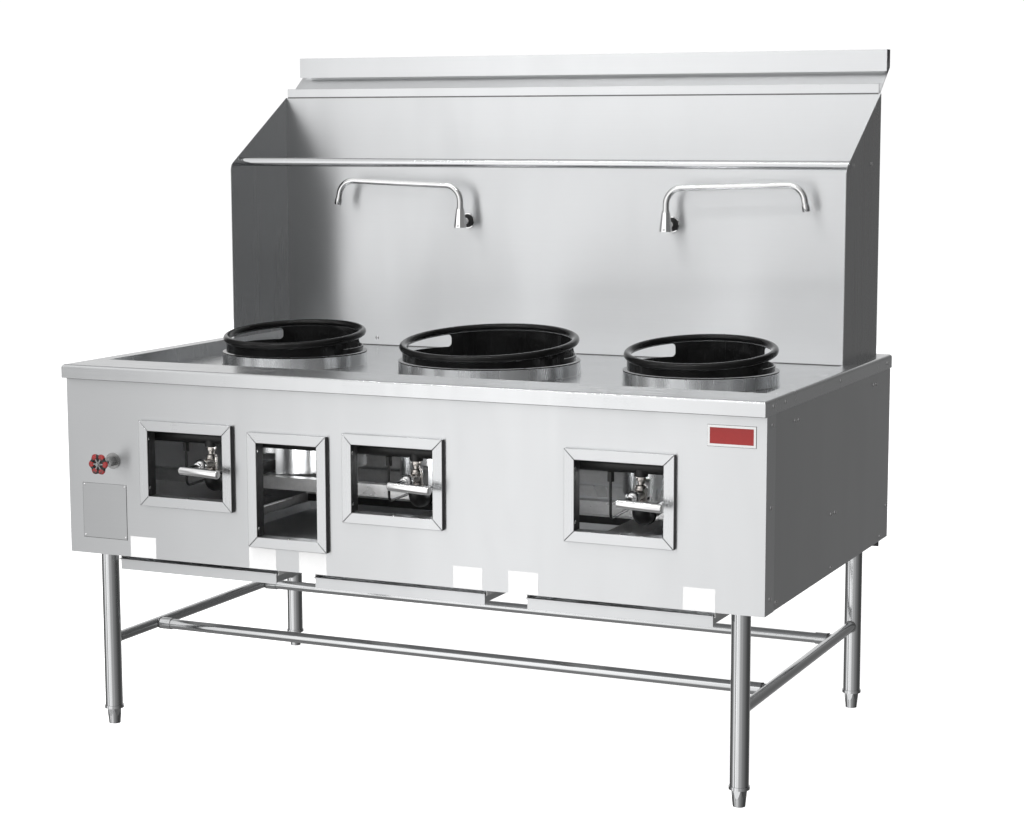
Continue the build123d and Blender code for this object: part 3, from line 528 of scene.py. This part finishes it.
for side in SIDES:
    x = BURNER_X[side] + VALVE_DX
    low, high, middle = node_box("gas_valve_" + side)
    bm = bmesh.new()
    turned(bm, (x, GAS_Y, 0), UP, UNION_NUT, 6)
    turned(bm, (x, GAS_Y, 0), UP, VALVE_BARREL)
    turned(bm, (x, GAS_Y, 0), UP, LOWER_NUT, 6)
    turned(bm, (x, GAS_Y, LEVER_Z), FORWARD, PLUG_HOUSING)
    piece = add_mesh("valve_body_" + side, bm, valve_metal, "cabinet", bevel=0.0004)
    replace(piece, "gas_valve_" + side)
    bm = bmesh.new()
    turned(bm, (x, low.y + BONNET_DEPTH, LEVER_Z), FORWARD, BONNET)
    add_mesh("valve_bonnet_" + side, bm, chrome, "cabinet", bevel=0.0002, smooth=45)

    low, high, middle = node_box("valve_lever_" + side)
    grip_y = low.y + GRIP_R
    grip = domed(high.x - low.x - GRIP_SHORT, GRIP_R, GRIP_END)
    bm = bmesh.new()
    turned(bm, (low.x + GRIP_SHORT, grip_y, LEVER_Z), RIGHT, grip, 48)
    turned(bm, (x, grip_y, LEVER_Z), BACK, ((0.0, STEM_R), (high.y - grip_y, STEM_R)))
    turned(bm, (x, LEVER_COLLAR_Y, LEVER_Z), BACK, LEVER_COLLAR)
    droop = Matrix.Rotation(GRIP_DROOP, 3, "Y")
    bmesh.ops.rotate(bm, cent=Vector((x, grip_y, LEVER_Z)), matrix=droop, verts=bm.verts)
    piece = add_mesh("lever_grip_" + side, bm, chrome, "valve_lever_" + side, smooth=40)
    replace(piece, "valve_lever_" + side)

    bm = bmesh.new()
    run = Vector((BURNER_X[side] - x, -GAS_Y, 0)).normalized()
    ring_bead(bm, (x, GAS_Y, ELBOW_TOP), UP, ELBOW_R, ELBOW_BEAD)
    ring_bead(bm, Vector((x, GAS_Y, ELBOW_Z)) + run * ELBOW_REACH, run, ELBOW_R, ELBOW_BEAD)
    add_mesh("elbow_beads_" + side, bm, fitting_black, "cabinet")

# ---- handwheel --------------------------------------------------------------------------------
LOBES = 6
WHEEL_STEPS = 96
RIM_SIDES = 12
RIM_WIDE = 0.0125        # from the wheel's outline to the rim's inner edge between the lobes
LOBE_DEPTH = 0.0046
LOBE_INNER = 0.0010      # the rim reaches this much further in at a lobe
LOBE_POWER = 0.7         # below 1 the lobes are broader and the notches narrower
NOTCH = -0.45            # the rim is black where the wave of the lobes is below this
RIM_MIDDLE = 0.0042      # the middle of the rim lies this far behind the wheel's front
RIM_HALF_DEPTH = 0.0040
ROUNDED = 0.75           # below 1 the rim's section is squarer than an ellipse
SPOKE_HALF = 0.0016
SPOKE_DEPTH = 0.0030
SPOKE_BEHIND = 0.002
SPOKE_ROOT = 0.004
SPOKE_SHORT = 0.0105     # a spoke ends this far inside the wheel's outline
HUB_CAP = ((0.0, 0.0050), (0.0015, 0.0062), (0.0068, 0.0058), (0.0078, 0.0048))
HUB_CAP_BEHIND = 0.0078
HUB_NUT = ((0.0, 0.0044), (0.0030, 0.0046), (0.0036, 0.0038))
WHEEL_STEM_R = 0.0040
WHEEL_STEM_IN = 0.007    # the stem starts this far behind the wheel's front
# Black disc behind the spokes, where the wheel's middle lies in shade: painted shade.
WHEEL_SHADE_DISC = (
    (0.0, WHEEL_STEM_R), (0.0, 0.0140), (0.0008, 0.0144), (0.0022, 0.0144), (0.0024, WHEEL_STEM_R),
)
WHEEL_SHADE_DISC_BEHIND = 0.0055
WHEEL_FRONT_IN = 0.004   # from the foremost face of the wheel's solid

low, high, middle = node_box("handwheel")
wheel_r = (high.x - low.x) / 2
wheel_front = low.y + WHEEL_FRONT_IN


def squared(share):
    """A sine or cosine pushed outwards."""
    return math.copysign(abs(share) ** ROUNDED, share)


def wheel_point(behind):
    """Point on the wheel's axis, this far behind its front."""
    return (middle.x, wheel_front + behind, middle.z)


def between_lobes(face):
    out = face.center - middle
    return math.cos(LOBES * math.atan2(out.z, out.x)) < NOTCH


bm = bmesh.new()
loops = []
for k in range(WHEEL_STEPS):
    turn = 2 * math.pi * k / WHEEL_STEPS
    lobe_out = 0.5 + 0.5 * math.cos(LOBES * turn)
    outer_r = wheel_r - LOBE_DEPTH * (1 - lobe_out ** LOBE_POWER)
    inner_r = wheel_r - RIM_WIDE - LOBE_INNER * lobe_out
    middle_r, half = (outer_r + inner_r) / 2, (outer_r - inner_r) / 2
    loop = []
    for j in range(RIM_SIDES):
        a = 2 * math.pi * j / RIM_SIDES
        across = middle_r + half * squared(math.cos(a))
        deep = RIM_HALF_DEPTH * squared(math.sin(a))
        y = wheel_front + RIM_MIDDLE - deep
        spot = (middle.x + across * math.cos(turn), y, middle.z + across * math.sin(turn))
        loop.append(bm.verts.new(spot))
    loops.append(loop)
close_loops(bm, loops)
wheel_rim = add_mesh("wheel_rim", bm, red_paint, "handwheel", smooth=60)
replace(wheel_rim, "handwheel")
second_material(wheel_rim, pipe_black, between_lobes)

bm = bmesh.new()
for k in range(LOBES):
    turn = 2 * math.pi * k / LOBES
    out = Vector((math.cos(turn), 0, math.sin(turn)))
    wide = Vector((-math.sin(turn), 0, math.cos(turn))) * SPOKE_HALF
    root = Vector(wheel_point(SPOKE_BEHIND))
    near, far = root + out * SPOKE_ROOT, root + out * (wheel_r - SPOKE_SHORT)
    prism(bm, [near - wide, far - wide, far + wide, near + wide], (0, SPOKE_DEPTH, 0))
turned(bm, wheel_point(HUB_CAP_BEHIND), FORWARD, HUB_CAP)
turned(bm, wheel_point(0), FORWARD, HUB_NUT, 6)
stem = ((0.0, WHEEL_STEM_R), (high.y - wheel_front - WHEEL_STEM_IN, WHEEL_STEM_R))
turned(bm, wheel_point(WHEEL_STEM_IN), BACK, stem)
wheel_hub = add_mesh("wheel_hub", bm, dark_metal, "handwheel", bevel=0.0003)

# Painted shade: a black disc behind the spokes and hub.
bm = bmesh.new()
turned(bm, wheel_point(WHEEL_SHADE_DISC_BEHIND), BACK, WHEEL_SHADE_DISC)
add_mesh("wheel_painted_shade_disc", bm, pipe_black, "handwheel", bevel=0.0002)
for piece in (wheel_rim, wheel_hub):
    piece.visible_glossy = False

# ---- data plate, badge, their fixings and the painted shadow lines round them -------------------
PLATE_T = 0.0008
PLATE_GAP = 0.00005      # the back of the data plate stays this far off the panel
RIVET_IN = 0.0045        # rivets from the edges of the data plate
RIVET = ((0.0, 0.0030), (0.0006, 0.0023), (0.0011, 0.0016), (0.0014, 0.0008))
BADGE_BORDER = 0.0051    # silver border round the red field
BADGE_FIELD = (0.0002, 0.0006)   # the red field's front and back, behind the badge's face
# The dark lines round the plates are painted shadow.
SHADOW_LINE_T = 0.0002
SHADOW_LINE_LEFT = 0.0007    # the dark line shows this much beyond each edge of a plate
SHADOW_LINE_RIGHT = 0.0009
SHADOW_LINE_BELOW = 0.0009
SHADOW_LINE_ABOVE = 0.0005


def painted_shadow_outline(name, low, high):
    """Thin dark line round a plate on the front panel: a painted shadow."""
    bm = bmesh.new()
    slab(bm, low.x - SHADOW_LINE_LEFT, high.x + SHADOW_LINE_RIGHT, FRONT - SHADOW_LINE_T, FRONT - LAID,
         low.z - SHADOW_LINE_BELOW, high.z + SHADOW_LINE_ABOVE)
    add_mesh(name, bm, painted_shade_steel, "cabinet")


low, high, middle = node_box("data_plate")
painted_shadow_outline("data_plate_painted_shadow", low, high)
bm = bmesh.new()
slab(bm, low.x, high.x, FRONT - PLATE_T, FRONT - PLATE_GAP, low.z, high.z)
replace(add_mesh("data_plate_sheet", bm, bare_plate, "cabinet", bevel=0.0003), "data_plate")
bm = bmesh.new()
for x in (low.x + RIVET_IN, high.x - RIVET_IN):
    for z in (low.z + RIVET_IN, high.z - RIVET_IN):
        turned(bm, (x, FRONT - PLATE_T, z), FORWARD, RIVET, 24)
add_mesh("data_plate_rivets", bm, rivet_metal, "cabinet")

low, high, middle = node_box("badge_plate")
painted_shadow_outline("badge_painted_shadow", low, high)
bm = bmesh.new()
slab(bm, low.x + BADGE_BORDER, high.x - BADGE_BORDER, low.y + BADGE_FIELD[0], low.y + BADGE_FIELD[1],
     low.z + BADGE_BORDER, high.z - BADGE_BORDER)
add_mesh("badge_field", bm, red_field, "cabinet", bevel=0.0001)

# ---- screws: a crossed pan head on the place of each plain head -----------------------------------
SAME_POINT = 0.00001
SHEET_SCREW_R = 0.0048
SHEET_SCREW_H = 0.0025


def loose_parts(bm):
    """The corner points of each loose part of a mesh."""
    found = set()
    parts = []
    for start in bm.verts:
        if start in found:
            continue
        found.add(start)
        points, queue = [], [start]
        while queue:
            here = queue.pop()
            points.append(here.co.copy())
            for edge in here.link_edges:
                there = edge.other_vert(here)
                if there not in found:
                    found.add(there)
                    queue.append(there)
        parts.append(points)
    return parts


heads = bmesh.new()
heads.from_mesh(nodes["fasteners"].data)
bmesh.ops.remove_doubles(heads, verts=heads.verts, dist=SAME_POINT)
bm = bmesh.new()
for points in loose_parts(heads):
    low = Vector([min(co[k] for co in points) for k in range(3)])
    high = Vector([max(co[k] for co in points) for k in range(3)])
    middle, size = (low + high) / 2, high - low
    if size.x < size.y:
        out = Vector((math.copysign(1, middle.x), 0, 0))
        place = Vector((high.x if middle.x < 0 else low.x, middle.y, middle.z))
    else:
        out = Vector(FORWARD)
        place = Vector((middle.x, high.y, middle.z))
    screw_head(bm, place, out, SHEET_SCREW_R, SHEET_SCREW_H)
heads.free()
replace(add_mesh("screw_heads", bm, screw_steel, "cabinet"), "fasteners")

# ---- taps -------------------------------------------------------------------------------------------
TAP_Z = 1.182
ROSE_RING_R = 0.0186
ROSE_RING_T = 0.0021
ROSE_RING_Y = SPLASH_FACE - 0.0046
ROSE_SEAL = ((0.0, 0.0170), (0.0006, 0.0168), (0.0008, 0.0100))
ROSE_SEAL_Y = SPLASH_FACE - 0.0050
BODY_SCREW_R = 0.0030
BODY_SCREW_H = 0.0012
BODY_SCREW_IN = 0.0011   # the screw's head starts this deep in the tap body
BODY_SCREW_UP = 0.009
SPOUT_Y = 0.420
SPOUT_BEND = (0.352, 1.286)      # beside the tap, height: where the spout turns down
SPOUT_TIP = (0.364, 1.221)
AERATOR = (
    (-0.0175, 0.0081), (-0.0165, 0.0097), (-0.0015, 0.0097), (-0.0004, 0.0090), (-0.0004, 0.0070),
    (-0.0040, 0.0066), (-0.0040, 0.0001),
)

for side, reach in (("left", -1), ("right", 1)):
    low, high, middle = node_box("tap_body_" + side)
    x = middle.x
    bm = bmesh.new()
    ring_bead(bm, (x, ROSE_RING_Y, TAP_Z), BACK, ROSE_RING_R, ROSE_RING_T)
    add_mesh("tap_rose_ring_" + side, bm, chrome, "cabinet", smooth=60)
    bm = bmesh.new()
    turned(bm, (x, ROSE_SEAL_Y, TAP_Z), FORWARD, ROSE_SEAL)
    add_mesh("tap_rose_seal_" + side, bm, pipe_black, "cabinet")
    bm = bmesh.new()
    place = (x, low.y + BODY_SCREW_IN, low.z + BODY_SCREW_UP)
    screw_head(bm, place, FORWARD, BODY_SCREW_R, BODY_SCREW_H)
    add_mesh("tap_body_screw_" + side, bm, screw_steel, "cabinet")
    bend = Vector((x + reach * SPOUT_BEND[0], SPOUT_Y, SPOUT_BEND[1]))
    tip = Vector((x + reach * SPOUT_TIP[0], SPOUT_Y, SPOUT_TIP[1]))
    bm = bmesh.new()
    turned(bm, tip, (tip - bend).normalized(), AERATOR)
    add_mesh("tap_aerator_" + side, bm, chrome, "tap_spout_" + side, smooth=40)

# ---- weld beads: stretcher joints, collar feet, seams of the rings -----------------------------------
LEG_R = 0.02065
LEG_BITE = 0.985         # a bead lies this share of the leg's radius off its middle
STRETCHER_Z = 0.207
CROSS_Y = (-0.252, 0.255)
CROSS_WELD_OUT = 0.0124  # from the middle of a side stretcher
# Beads: radius, thickness, steps, ripple.
LEG_WELD = (0.0132, 0.0017, 48, 0.25)
CROSS_WELD = (0.0130, 0.0015, 48, 0.25)
SEAM_BEAD = (0.0084, 0.0007, 24, 0.2)
COLLAR_WELD = (0.0011, 144, 0.3)     # without its radius, which goes by the collar
COLLAR_WELD_OUT = 0.0006

bm = bmesh.new()
for depth, backward in (("front", 1), ("rear", -1)):
    for side, inward in (("left", 1), ("right", -1)):
        low, high, middle = node_box("leg_" + depth + "_" + side)
        place = (middle.x, middle.y + backward * LEG_R * LEG_BITE, STRETCHER_Z)
        ring_bead(bm, place, BACK, *LEG_WELD)
        for cross_y in CROSS_Y:
            place = (middle.x + inward * CROSS_WELD_OUT, cross_y, STRETCHER_Z)
            ring_bead(bm, place, RIGHT, *CROSS_WELD)
add_mesh("stretcher_welds", bm, seam, "cabinet")

RING_Z = 0.9146
RING_LEAN = {"left": 4.8, "center": 5.4, "right": 5.9}     # degrees
RING_SEAM_TURN = math.radians(91)
RING_WALL_IN = 0.0095    # the ring's wall is this much smaller than the collar
RING_FOOT_Z = 0.820
SEAM_AXIS = (1, 0.02, 0)
SEAM_SUNK = 0.001        # the bead's middle lies this far inside the wall
SEAM_HALF = 0.0010
SEAM_STRIP = (0.0036, 0.0029)    # both faces of the strip, inside the wall
SEAM_BELOW = 0.007       # the strip ends this far below the rim's middle

for side in SIDES:
    low, high, middle = node_box("collar_" + side)
    radius = (high.x - low.x) / 2
    bm = bmesh.new()
    foot = (middle.x, middle.y, low.z + COLLAR_WELD_OUT)
    ring_bead(bm, foot, UP, radius + COLLAR_WELD_OUT, *COLLAR_WELD)
    add_mesh("collar_weld_" + side, bm, screw_steel, "cabinet")
    lean = math.radians(RING_LEAN[side])
    wall = radius - RING_WALL_IN
    rearward = math.sin(RING_SEAM_TURN)
    out = Vector((math.cos(RING_SEAM_TURN), rearward * math.cos(lean), rearward * math.sin(lean)))
    bm = bmesh.new()
    spot = Vector((middle.x, middle.y, RING_Z)) + out * (wall - SEAM_SUNK)
    ring_bead(bm, spot, SEAM_AXIS, *SEAM_BEAD)
    slab(bm, middle.x - SEAM_HALF, middle.x + SEAM_HALF, wall - SEAM_STRIP[0], wall - SEAM_STRIP[1],
         RING_FOOT_Z, RING_Z + wall * math.sin(lean) - SEAM_BELOW)
    add_mesh("ring_seam_" + side, bm, enamel, "wok_ring_" + side)

# ---- shrouds under the chambers, open where the pipes pass -----------------------------------------
SHROUD_Z0 = 0.5885
SHROUD_T = 0.0015
SHROUD_IN = 0.0001       # the shroud stays this far inside and under the chamber
SHROUD_STEPS = 240
SUPPLY_HALF = 0.021      # half of the opening for the supply pipe
PILOT_DX = -0.070
PILOT_HALF = 0.007

for side in SIDES:
    low, high, middle = node_box("chamber_" + side)
    outer = (high.x - low.x) / 2 - SHROUD_IN
    inner = outer - SHROUD_T
    top = low.z - SHROUD_IN
    bm = bmesh.new()
    columns = []
    for k in range(SHROUD_STEPS):
        turn = 2 * math.pi * k / SHROUD_STEPS
        dx, dy = math.cos(turn), math.sin(turn)
        supply_passes = abs(dx * outer - VALVE_DX) < SUPPLY_HALF
        pilot_passes = abs(dx * outer - PILOT_DX) < PILOT_HALF
        if dy < 0 and (supply_passes or pilot_passes):
            columns.append(None)
            continue
        column = []
        for r, z in ((outer, SHROUD_Z0), (outer, top), (inner, top), (inner, SHROUD_Z0)):
            column.append(bm.verts.new((middle.x + dx * r, middle.y + dy * r, z)))
        columns.append(column)
    for k in range(SHROUD_STEPS):
        here, there, before = columns[k], columns[(k + 1) % SHROUD_STEPS], columns[k - 1]
        if here is None:
            continue
        if there is not None:
            for j in range(4):
                bm.faces.new((here[j], there[j], there[(j + 1) % 4], here[(j + 1) % 4]))
        if there is None or before is None:
            bm.faces.new(here)
    add_mesh("chamber_shroud_" + side, bm, sheet_rolled, "cabinet")

# ---- hem, a seam and painted shadow lines of the sheets --------------------------------------------
HEM_T = 0.0011
HEM_Z0 = 1.5065          # lower edge of the hem
HEM_BELOW_EDGE = 0.0002
HEM_SHADOW_T = 0.0005
HEM_SHADOW_WIDE = 0.0032
HEM_SHADOW_IN = 0.001      # from the riser's sides
FOOT_SEAM_T = 0.0012
FOOT_SEAM_IN = 0.003     # from the splash back's sides
FOOT_SEAM_Z = (0.0001, 0.0022)   # over the splash back's lower edge
RIM_SHADOW_T = 0.0006
RIM_SHADOW_WIDE = 0.0034
RIM_SHADOW_IN = 0.0005     # from the front panel's sides
RIM_Z0 = 0.8445          # lower edge of the rim's skirt

riser_low, riser_high, middle = node_box("flue_riser")
low, high, middle = node_box("splash_back")
behind = SPLASH_FACE - LAID
bm = bmesh.new()
slab(bm, riser_low.x, riser_high.x, SPLASH_FACE - HEM_T, behind, HEM_Z0, high.z - HEM_BELOW_EDGE)
add_mesh("splash_hem", bm, trim_wide, "cabinet", bevel=0.0004)
bm = bmesh.new()
# Painted shadow under the hem, then the dark seam at the splash back's foot.
slab(bm, riser_low.x + HEM_SHADOW_IN, riser_high.x - HEM_SHADOW_IN, SPLASH_FACE - HEM_SHADOW_T, behind,
     HEM_Z0 - HEM_SHADOW_WIDE, HEM_Z0)
slab(bm, low.x + FOOT_SEAM_IN, high.x - FOOT_SEAM_IN, SPLASH_FACE - FOOT_SEAM_T, behind,
     low.z + FOOT_SEAM_Z[0], low.z + FOOT_SEAM_Z[1])
add_mesh("splash_seam_and_hem_shadow", bm, dark_seam_and_painted_shadow, "cabinet")

low, high, middle = node_box("front_panel")
# Painted shadow: a dark line on the panel under the rim's skirt.
bm = bmesh.new()
slab(bm, low.x + RIM_SHADOW_IN, high.x - RIM_SHADOW_IN, FRONT - RIM_SHADOW_T, FRONT - LAID,
     RIM_Z0 - RIM_SHADOW_WIDE, RIM_Z0)
add_mesh("rim_painted_shadow", bm, dark_seam_and_painted_shadow, "cabinet")

# ---- tray stop, bridges between the runners, rails behind the windows -------------------------------
STOP_GAP = 0.002         # from the trays to the stop
STOP_T = 0.002
STOP_IN = 0.001          # from the sides of the base frame
STOP_LIP = 0.004
STOP_TOP = 0.4335
BRIDGE_GAP = 0.0045      # from a tray's side to the bridge
BRIDGE_IN = 0.030
BRIDGE_Z = (0.4310, 0.4328)
RAIL_IN = 0.0002
RAIL_Y = (0.300, 0.303)
RAIL_HEIGHTS = ((0.503, 0.531), (0.473, 0.483))

low, high, middle = node_box("base_frame")
tray_rear, tray_top = node_box("drip_tray_center")[1].yz
stop_rear = tray_rear + STOP_GAP + STOP_T
bm = bmesh.new()
slab(bm, low.x + STOP_IN, high.x - STOP_IN, tray_rear + STOP_GAP, stop_rear,
     tray_top - STOP_LIP, STOP_TOP)
# The tray stop takes the near-black sheet: painted shade at the back of the tray bay.
add_mesh("tray_stop", bm, painted_shade_steel, "cabinet", bevel=0.0003)
bm = bmesh.new()
for left, right in (("left", "center"), ("center", "right")):
    x0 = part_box("drip_tray_" + left)[1].x + BRIDGE_GAP
    x1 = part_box("drip_tray_" + right)[0].x - BRIDGE_GAP
    slab(bm, x0, x1, low.y + BRIDGE_IN, stop_rear, *BRIDGE_Z)
add_mesh("runner_bridges", bm, galvanised, "cabinet", bevel=0.0003)
bm = bmesh.new()
for heights in RAIL_HEIGHTS:
    slab(bm, low.x + RAIL_IN, high.x - RAIL_IN, *RAIL_Y, *heights)
add_mesh("rear_rails", bm, galvanised, "cabinet", bevel=0.0003)

# ---- studio: the world's light ------------------------------------------------------------
BACKDROP = 1.05          # the white that the camera sees behind the object

scene.view_settings.view_transform = "Standard"
scene.view_settings.look = "None"
world = bpy.data.worlds.new("studio")
scene.world = world
world.use_nodes = True
wn, wl = world.node_tree.nodes, world.node_tree.links
wn.clear()


def w_node(kind, **settings):
    node = wn.new(kind)
    for key, value in settings.items():
        setattr(node, key, value)
    return node


def grey_ramp(source, low, high, stops):
    """Ramp of greys over a value that runs from low to high; stops are (share of the way, grey)."""
    unit = w_node("ShaderNodeMapRange")
    unit.inputs["From Min"].default_value = low
    unit.inputs["From Max"].default_value = high
    wl.new(source, unit.inputs["Value"])
    ramp = w_node("ShaderNodeValToRGB")
    band = ramp.color_ramp
    while len(band.elements) < len(stops):
        band.elements.new(0.5)
    for element, (place, value) in zip(band.elements, stops):
        element.position = place
        element.color = (*grey(value), 1.0)
    wl.new(unit.outputs["Result"], ramp.inputs["Fac"])
    return ramp.outputs["Color"]


def lobe(towards, *stops):
    """Brightness by the angle in degrees to one direction, as a ramp over its cosine."""
    dot = w_node("ShaderNodeVectorMath", operation="DOT_PRODUCT")
    wl.new(direction, dot.inputs[0])
    dot.inputs[1].default_value = Vector(towards).normalized()
    falling = sorted(stops, reverse=True)
    shares = [((math.cos(math.radians(angle)) + 1) / 2, value) for angle, value in falling]
    return grey_ramp(dot.outputs["Value"], -1.0, 1.0, shares)


def by_angle(angle, limit, *stops):
    """Brightness as a ramp over an angle in degrees, from minus the limit to the limit."""
    shares = [((place + limit) / (limit + limit), value) for place, value in sorted(stops)]
    return grey_ramp(angle, math.radians(-limit), math.radians(limit), shares)


def w_mix(mode, first, second):
    node = w_node("ShaderNodeMix", data_type="RGBA", blend_type=mode)
    node.inputs["Factor"].default_value = 1.0
    wl.new(first, node.inputs["A"])
    wl.new(second, node.inputs["B"])
    return node.outputs["Result"]


def flipped(source):
    node = w_node("ShaderNodeMath", operation="MULTIPLY")
    wl.new(source, node.inputs[0])
    node.inputs[1].default_value = -1.0
    return node.outputs["Value"]


direction = w_node("ShaderNodeTexCoord").outputs["Generated"]
axes = w_node("ShaderNodeSeparateXYZ")
wl.new(direction, axes.inputs["Vector"])
azimuth = w_node("ShaderNodeMath", operation="ARCTAN2")
wl.new(flipped(axes.outputs["X"]), azimuth.inputs[0])
wl.new(flipped(axes.outputs["Y"]), azimuth.inputs[1])
elevation = w_node("ShaderNodeMath", operation="ARCSINE")
wl.new(axes.outputs["Z"], elevation.inputs[0])

# Azimuth 0 is straight in front, positive to the left.
around = by_angle(
    azimuth.outputs["Value"], 180,
    (-180, 0.45), (-168, 0.22), (-150, 0.13), (-125, 0.07), (-100, 0.10), (-80, 0.19), (-60, 0.28),
    (-46, 0.34), (-38, 0.52), (-22, 0.52), (-14, 0.62), (-4, 1.02), (5, 1.40), (12, 1.10), (18, 1.15),
    (22, 1.54), (29, 1.60), (32.5, 1.05), (36.5, 0.42), (43, 0.58), (51, 1.25), (59, 1.30), (66, 0.60),
    (76, 0.32), (92, 0.16), (115, 0.08), (142, 0.10), (158, 0.42), (180, 0.45),
)
upright = by_angle(
    elevation.outputs["Value"], 90,
    (-90, 0.0), (-54, 0.05), (-40, 0.35), (-28, 0.75), (-16, 1.0), (58, 1.0), (75, 0.6), (90, 0.4),
)
front_high = lobe((-0.32, -0.80, 0.50), (0, 1.50), (12, 1.30), (22, 0.50), (32, 0.0))
back_left = lobe((-0.45, 0.88, 0.15), (0, 0.86), (22, 0.80), (32, 0.35), (45, 0.0))
overhead = lobe((-0.15, -0.25, 1.0), (0, 1.0), (30, 0.8), (55, 0.12), (80, 0.0))
underfoot = lobe((0.0, 0.0, -1.0), (0, 0.30), (38, 0.28), (48, 0.18), (58, 0.0))
studio_light = w_mix("MULTIPLY", around, upright)
for more in (front_high, back_left, overhead, underfoot):
    studio_light = w_mix("LIGHTEN", studio_light, more)

shell = w_node("ShaderNodeBackground")
wl.new(studio_light, shell.inputs["Color"])
backdrop = w_node("ShaderNodeBackground")
backdrop.inputs["Color"].default_value = (1, 1, 1, 1)
backdrop.inputs["Strength"].default_value = BACKDROP
choose = w_node("ShaderNodeMixShader")
wl.new(w_node("ShaderNodeLightPath").outputs["Is Camera Ray"], choose.inputs[0])
wl.new(shell.outputs[0], choose.inputs[1])
wl.new(backdrop.outputs[0], choose.inputs[2])
wl.new(choose.outputs[0], w_node("ShaderNodeOutputWorld").inputs["Surface"])

# ---- studio: floor, lights and camera -------------------------------------------------------
FLOOR_HALF = 9
FLOOR_T = 0.02
FLOOR_GLOW = 0.90        # lifts the floor to the white of the backdrop

bm = bmesh.new()
slab(bm, -FLOOR_HALF, FLOOR_HALF, -FLOOR_HALF, FLOOR_HALF, -FLOOR_T, 0.0)
floor_mesh = bpy.data.meshes.new("floor")
bm.to_mesh(floor_mesh)
bm.free()
floor = bpy.data.objects.new("floor", floor_mesh)
scene.collection.objects.link(floor)
fg = Graph("floor_pale")
tone = fg.noise((1.5, 1.5, 1.5), 2.0)
fg.link(fg.ramp(tone, (0.3, grey(0.60)), (0.7, grey(0.62))), fg.bsdf.inputs["Base Color"])
fg.bsdf.inputs["Roughness"].default_value = 0.9
fg.bsdf.inputs["Specular IOR Level"].default_value = 0.0
fg.bsdf.inputs["Emission Color"].default_value = (1, 1, 1, 1)
fg.bsdf.inputs["Emission Strength"].default_value = FLOOR_GLOW
floor_mesh.materials.append(fg.mat)
floor.visible_glossy = False


def area_light(name, place, turn, size, energy, mirrored=True, seen=True):
    data = bpy.data.lights.new(name, "AREA")
    data.shape = "RECTANGLE"
    data.size, data.size_y = size
    data.energy = energy
    lamp = bpy.data.objects.new(name, data)
    lamp.location = place
    lamp.rotation_euler = turn
    lamp.visible_glossy = mirrored
    lamp.visible_camera = seen
    scene.collection.objects.link(lamp)


def aimed(name, place, target, size, energy, mirrored):
    """A lamp turned towards the target."""
    turn = (Vector(target) - Vector(place)).to_track_quat("-Z", "Y").to_euler()
    area_light(name, place, turn, size, energy, mirrored)


aimed("soft_top", (-1.2, -1.6, 4.2), (0, 0, 0.8), (3.2, 2.4), 110, False)
aimed("soft_front", (0.9, -4.6, 1.7), (0, 0, 0.7), (1.6, 1.6), 70, False)
aimed("strip_top", (-0.3, -1.5, 3.6), (0, 0, 0.9), (2.6, 0.05), 13, True)

# Small lamps behind the gas valves, and one in the slot under the riser's front.
INNER_Y = GAS_Y + 0.045
INNER_Z = 0.67
INNER_SIZE = (0.16, 0.16)
# Behind each window: its name, the lamp's place along X, its energy.
INNER = (("left", -0.52, 0.05), ("tall", -0.27, 0.40), ("center", -0.01, 0.75), ("right", 0.53, 1.0))
INNER_TURN = (math.radians(90), 0, 0)
THROAT_SIZE = (1.62, 0.012)
THROAT_ENERGY = 0.05
THROAT_TURN = (math.radians(60), 0, 0)
THROAT_PLACE = (0.0, riser_low.y + 0.077, riser_high.z - 0.046)
for name, x, energy in INNER:
    area_light("inner_" + name, (x, INNER_Y, INNER_Z), INNER_TURN, INNER_SIZE, energy, seen=False)
area_light("throat", THROAT_PLACE, THROAT_TURN, THROAT_SIZE, THROAT_ENERGY, seen=False)

CAMERA_PLACE = (2.2087, -4.6727, 1.4368)
CAMERA_TURN = 24.483     # degrees to the left of straight back
CAMERA_DIP = 7.625
CAMERA_ROLL = -0.110
LENS = 76.06             # millimetres, for a 36 mm wide picture

camera = bpy.data.objects.new("camera", bpy.data.cameras.new("camera"))
scene.collection.objects.link(camera)
scene.camera = camera
camera.data.sensor_width = 36.0
camera.data.lens = LENS
camera.data.shift_x = -0.00652
camera.data.shift_y = -0.00541
camera.data.clip_end = 60.0
camera.matrix_world = (
    Matrix.Translation(CAMERA_PLACE)
    @ Matrix.Rotation(math.radians(CAMERA_TURN), 4, "Z")
    @ Matrix.Rotation(math.radians(90 - CAMERA_DIP), 4, "X")
    @ Matrix.Rotation(math.radians(CAMERA_ROLL), 4, "Z")
)
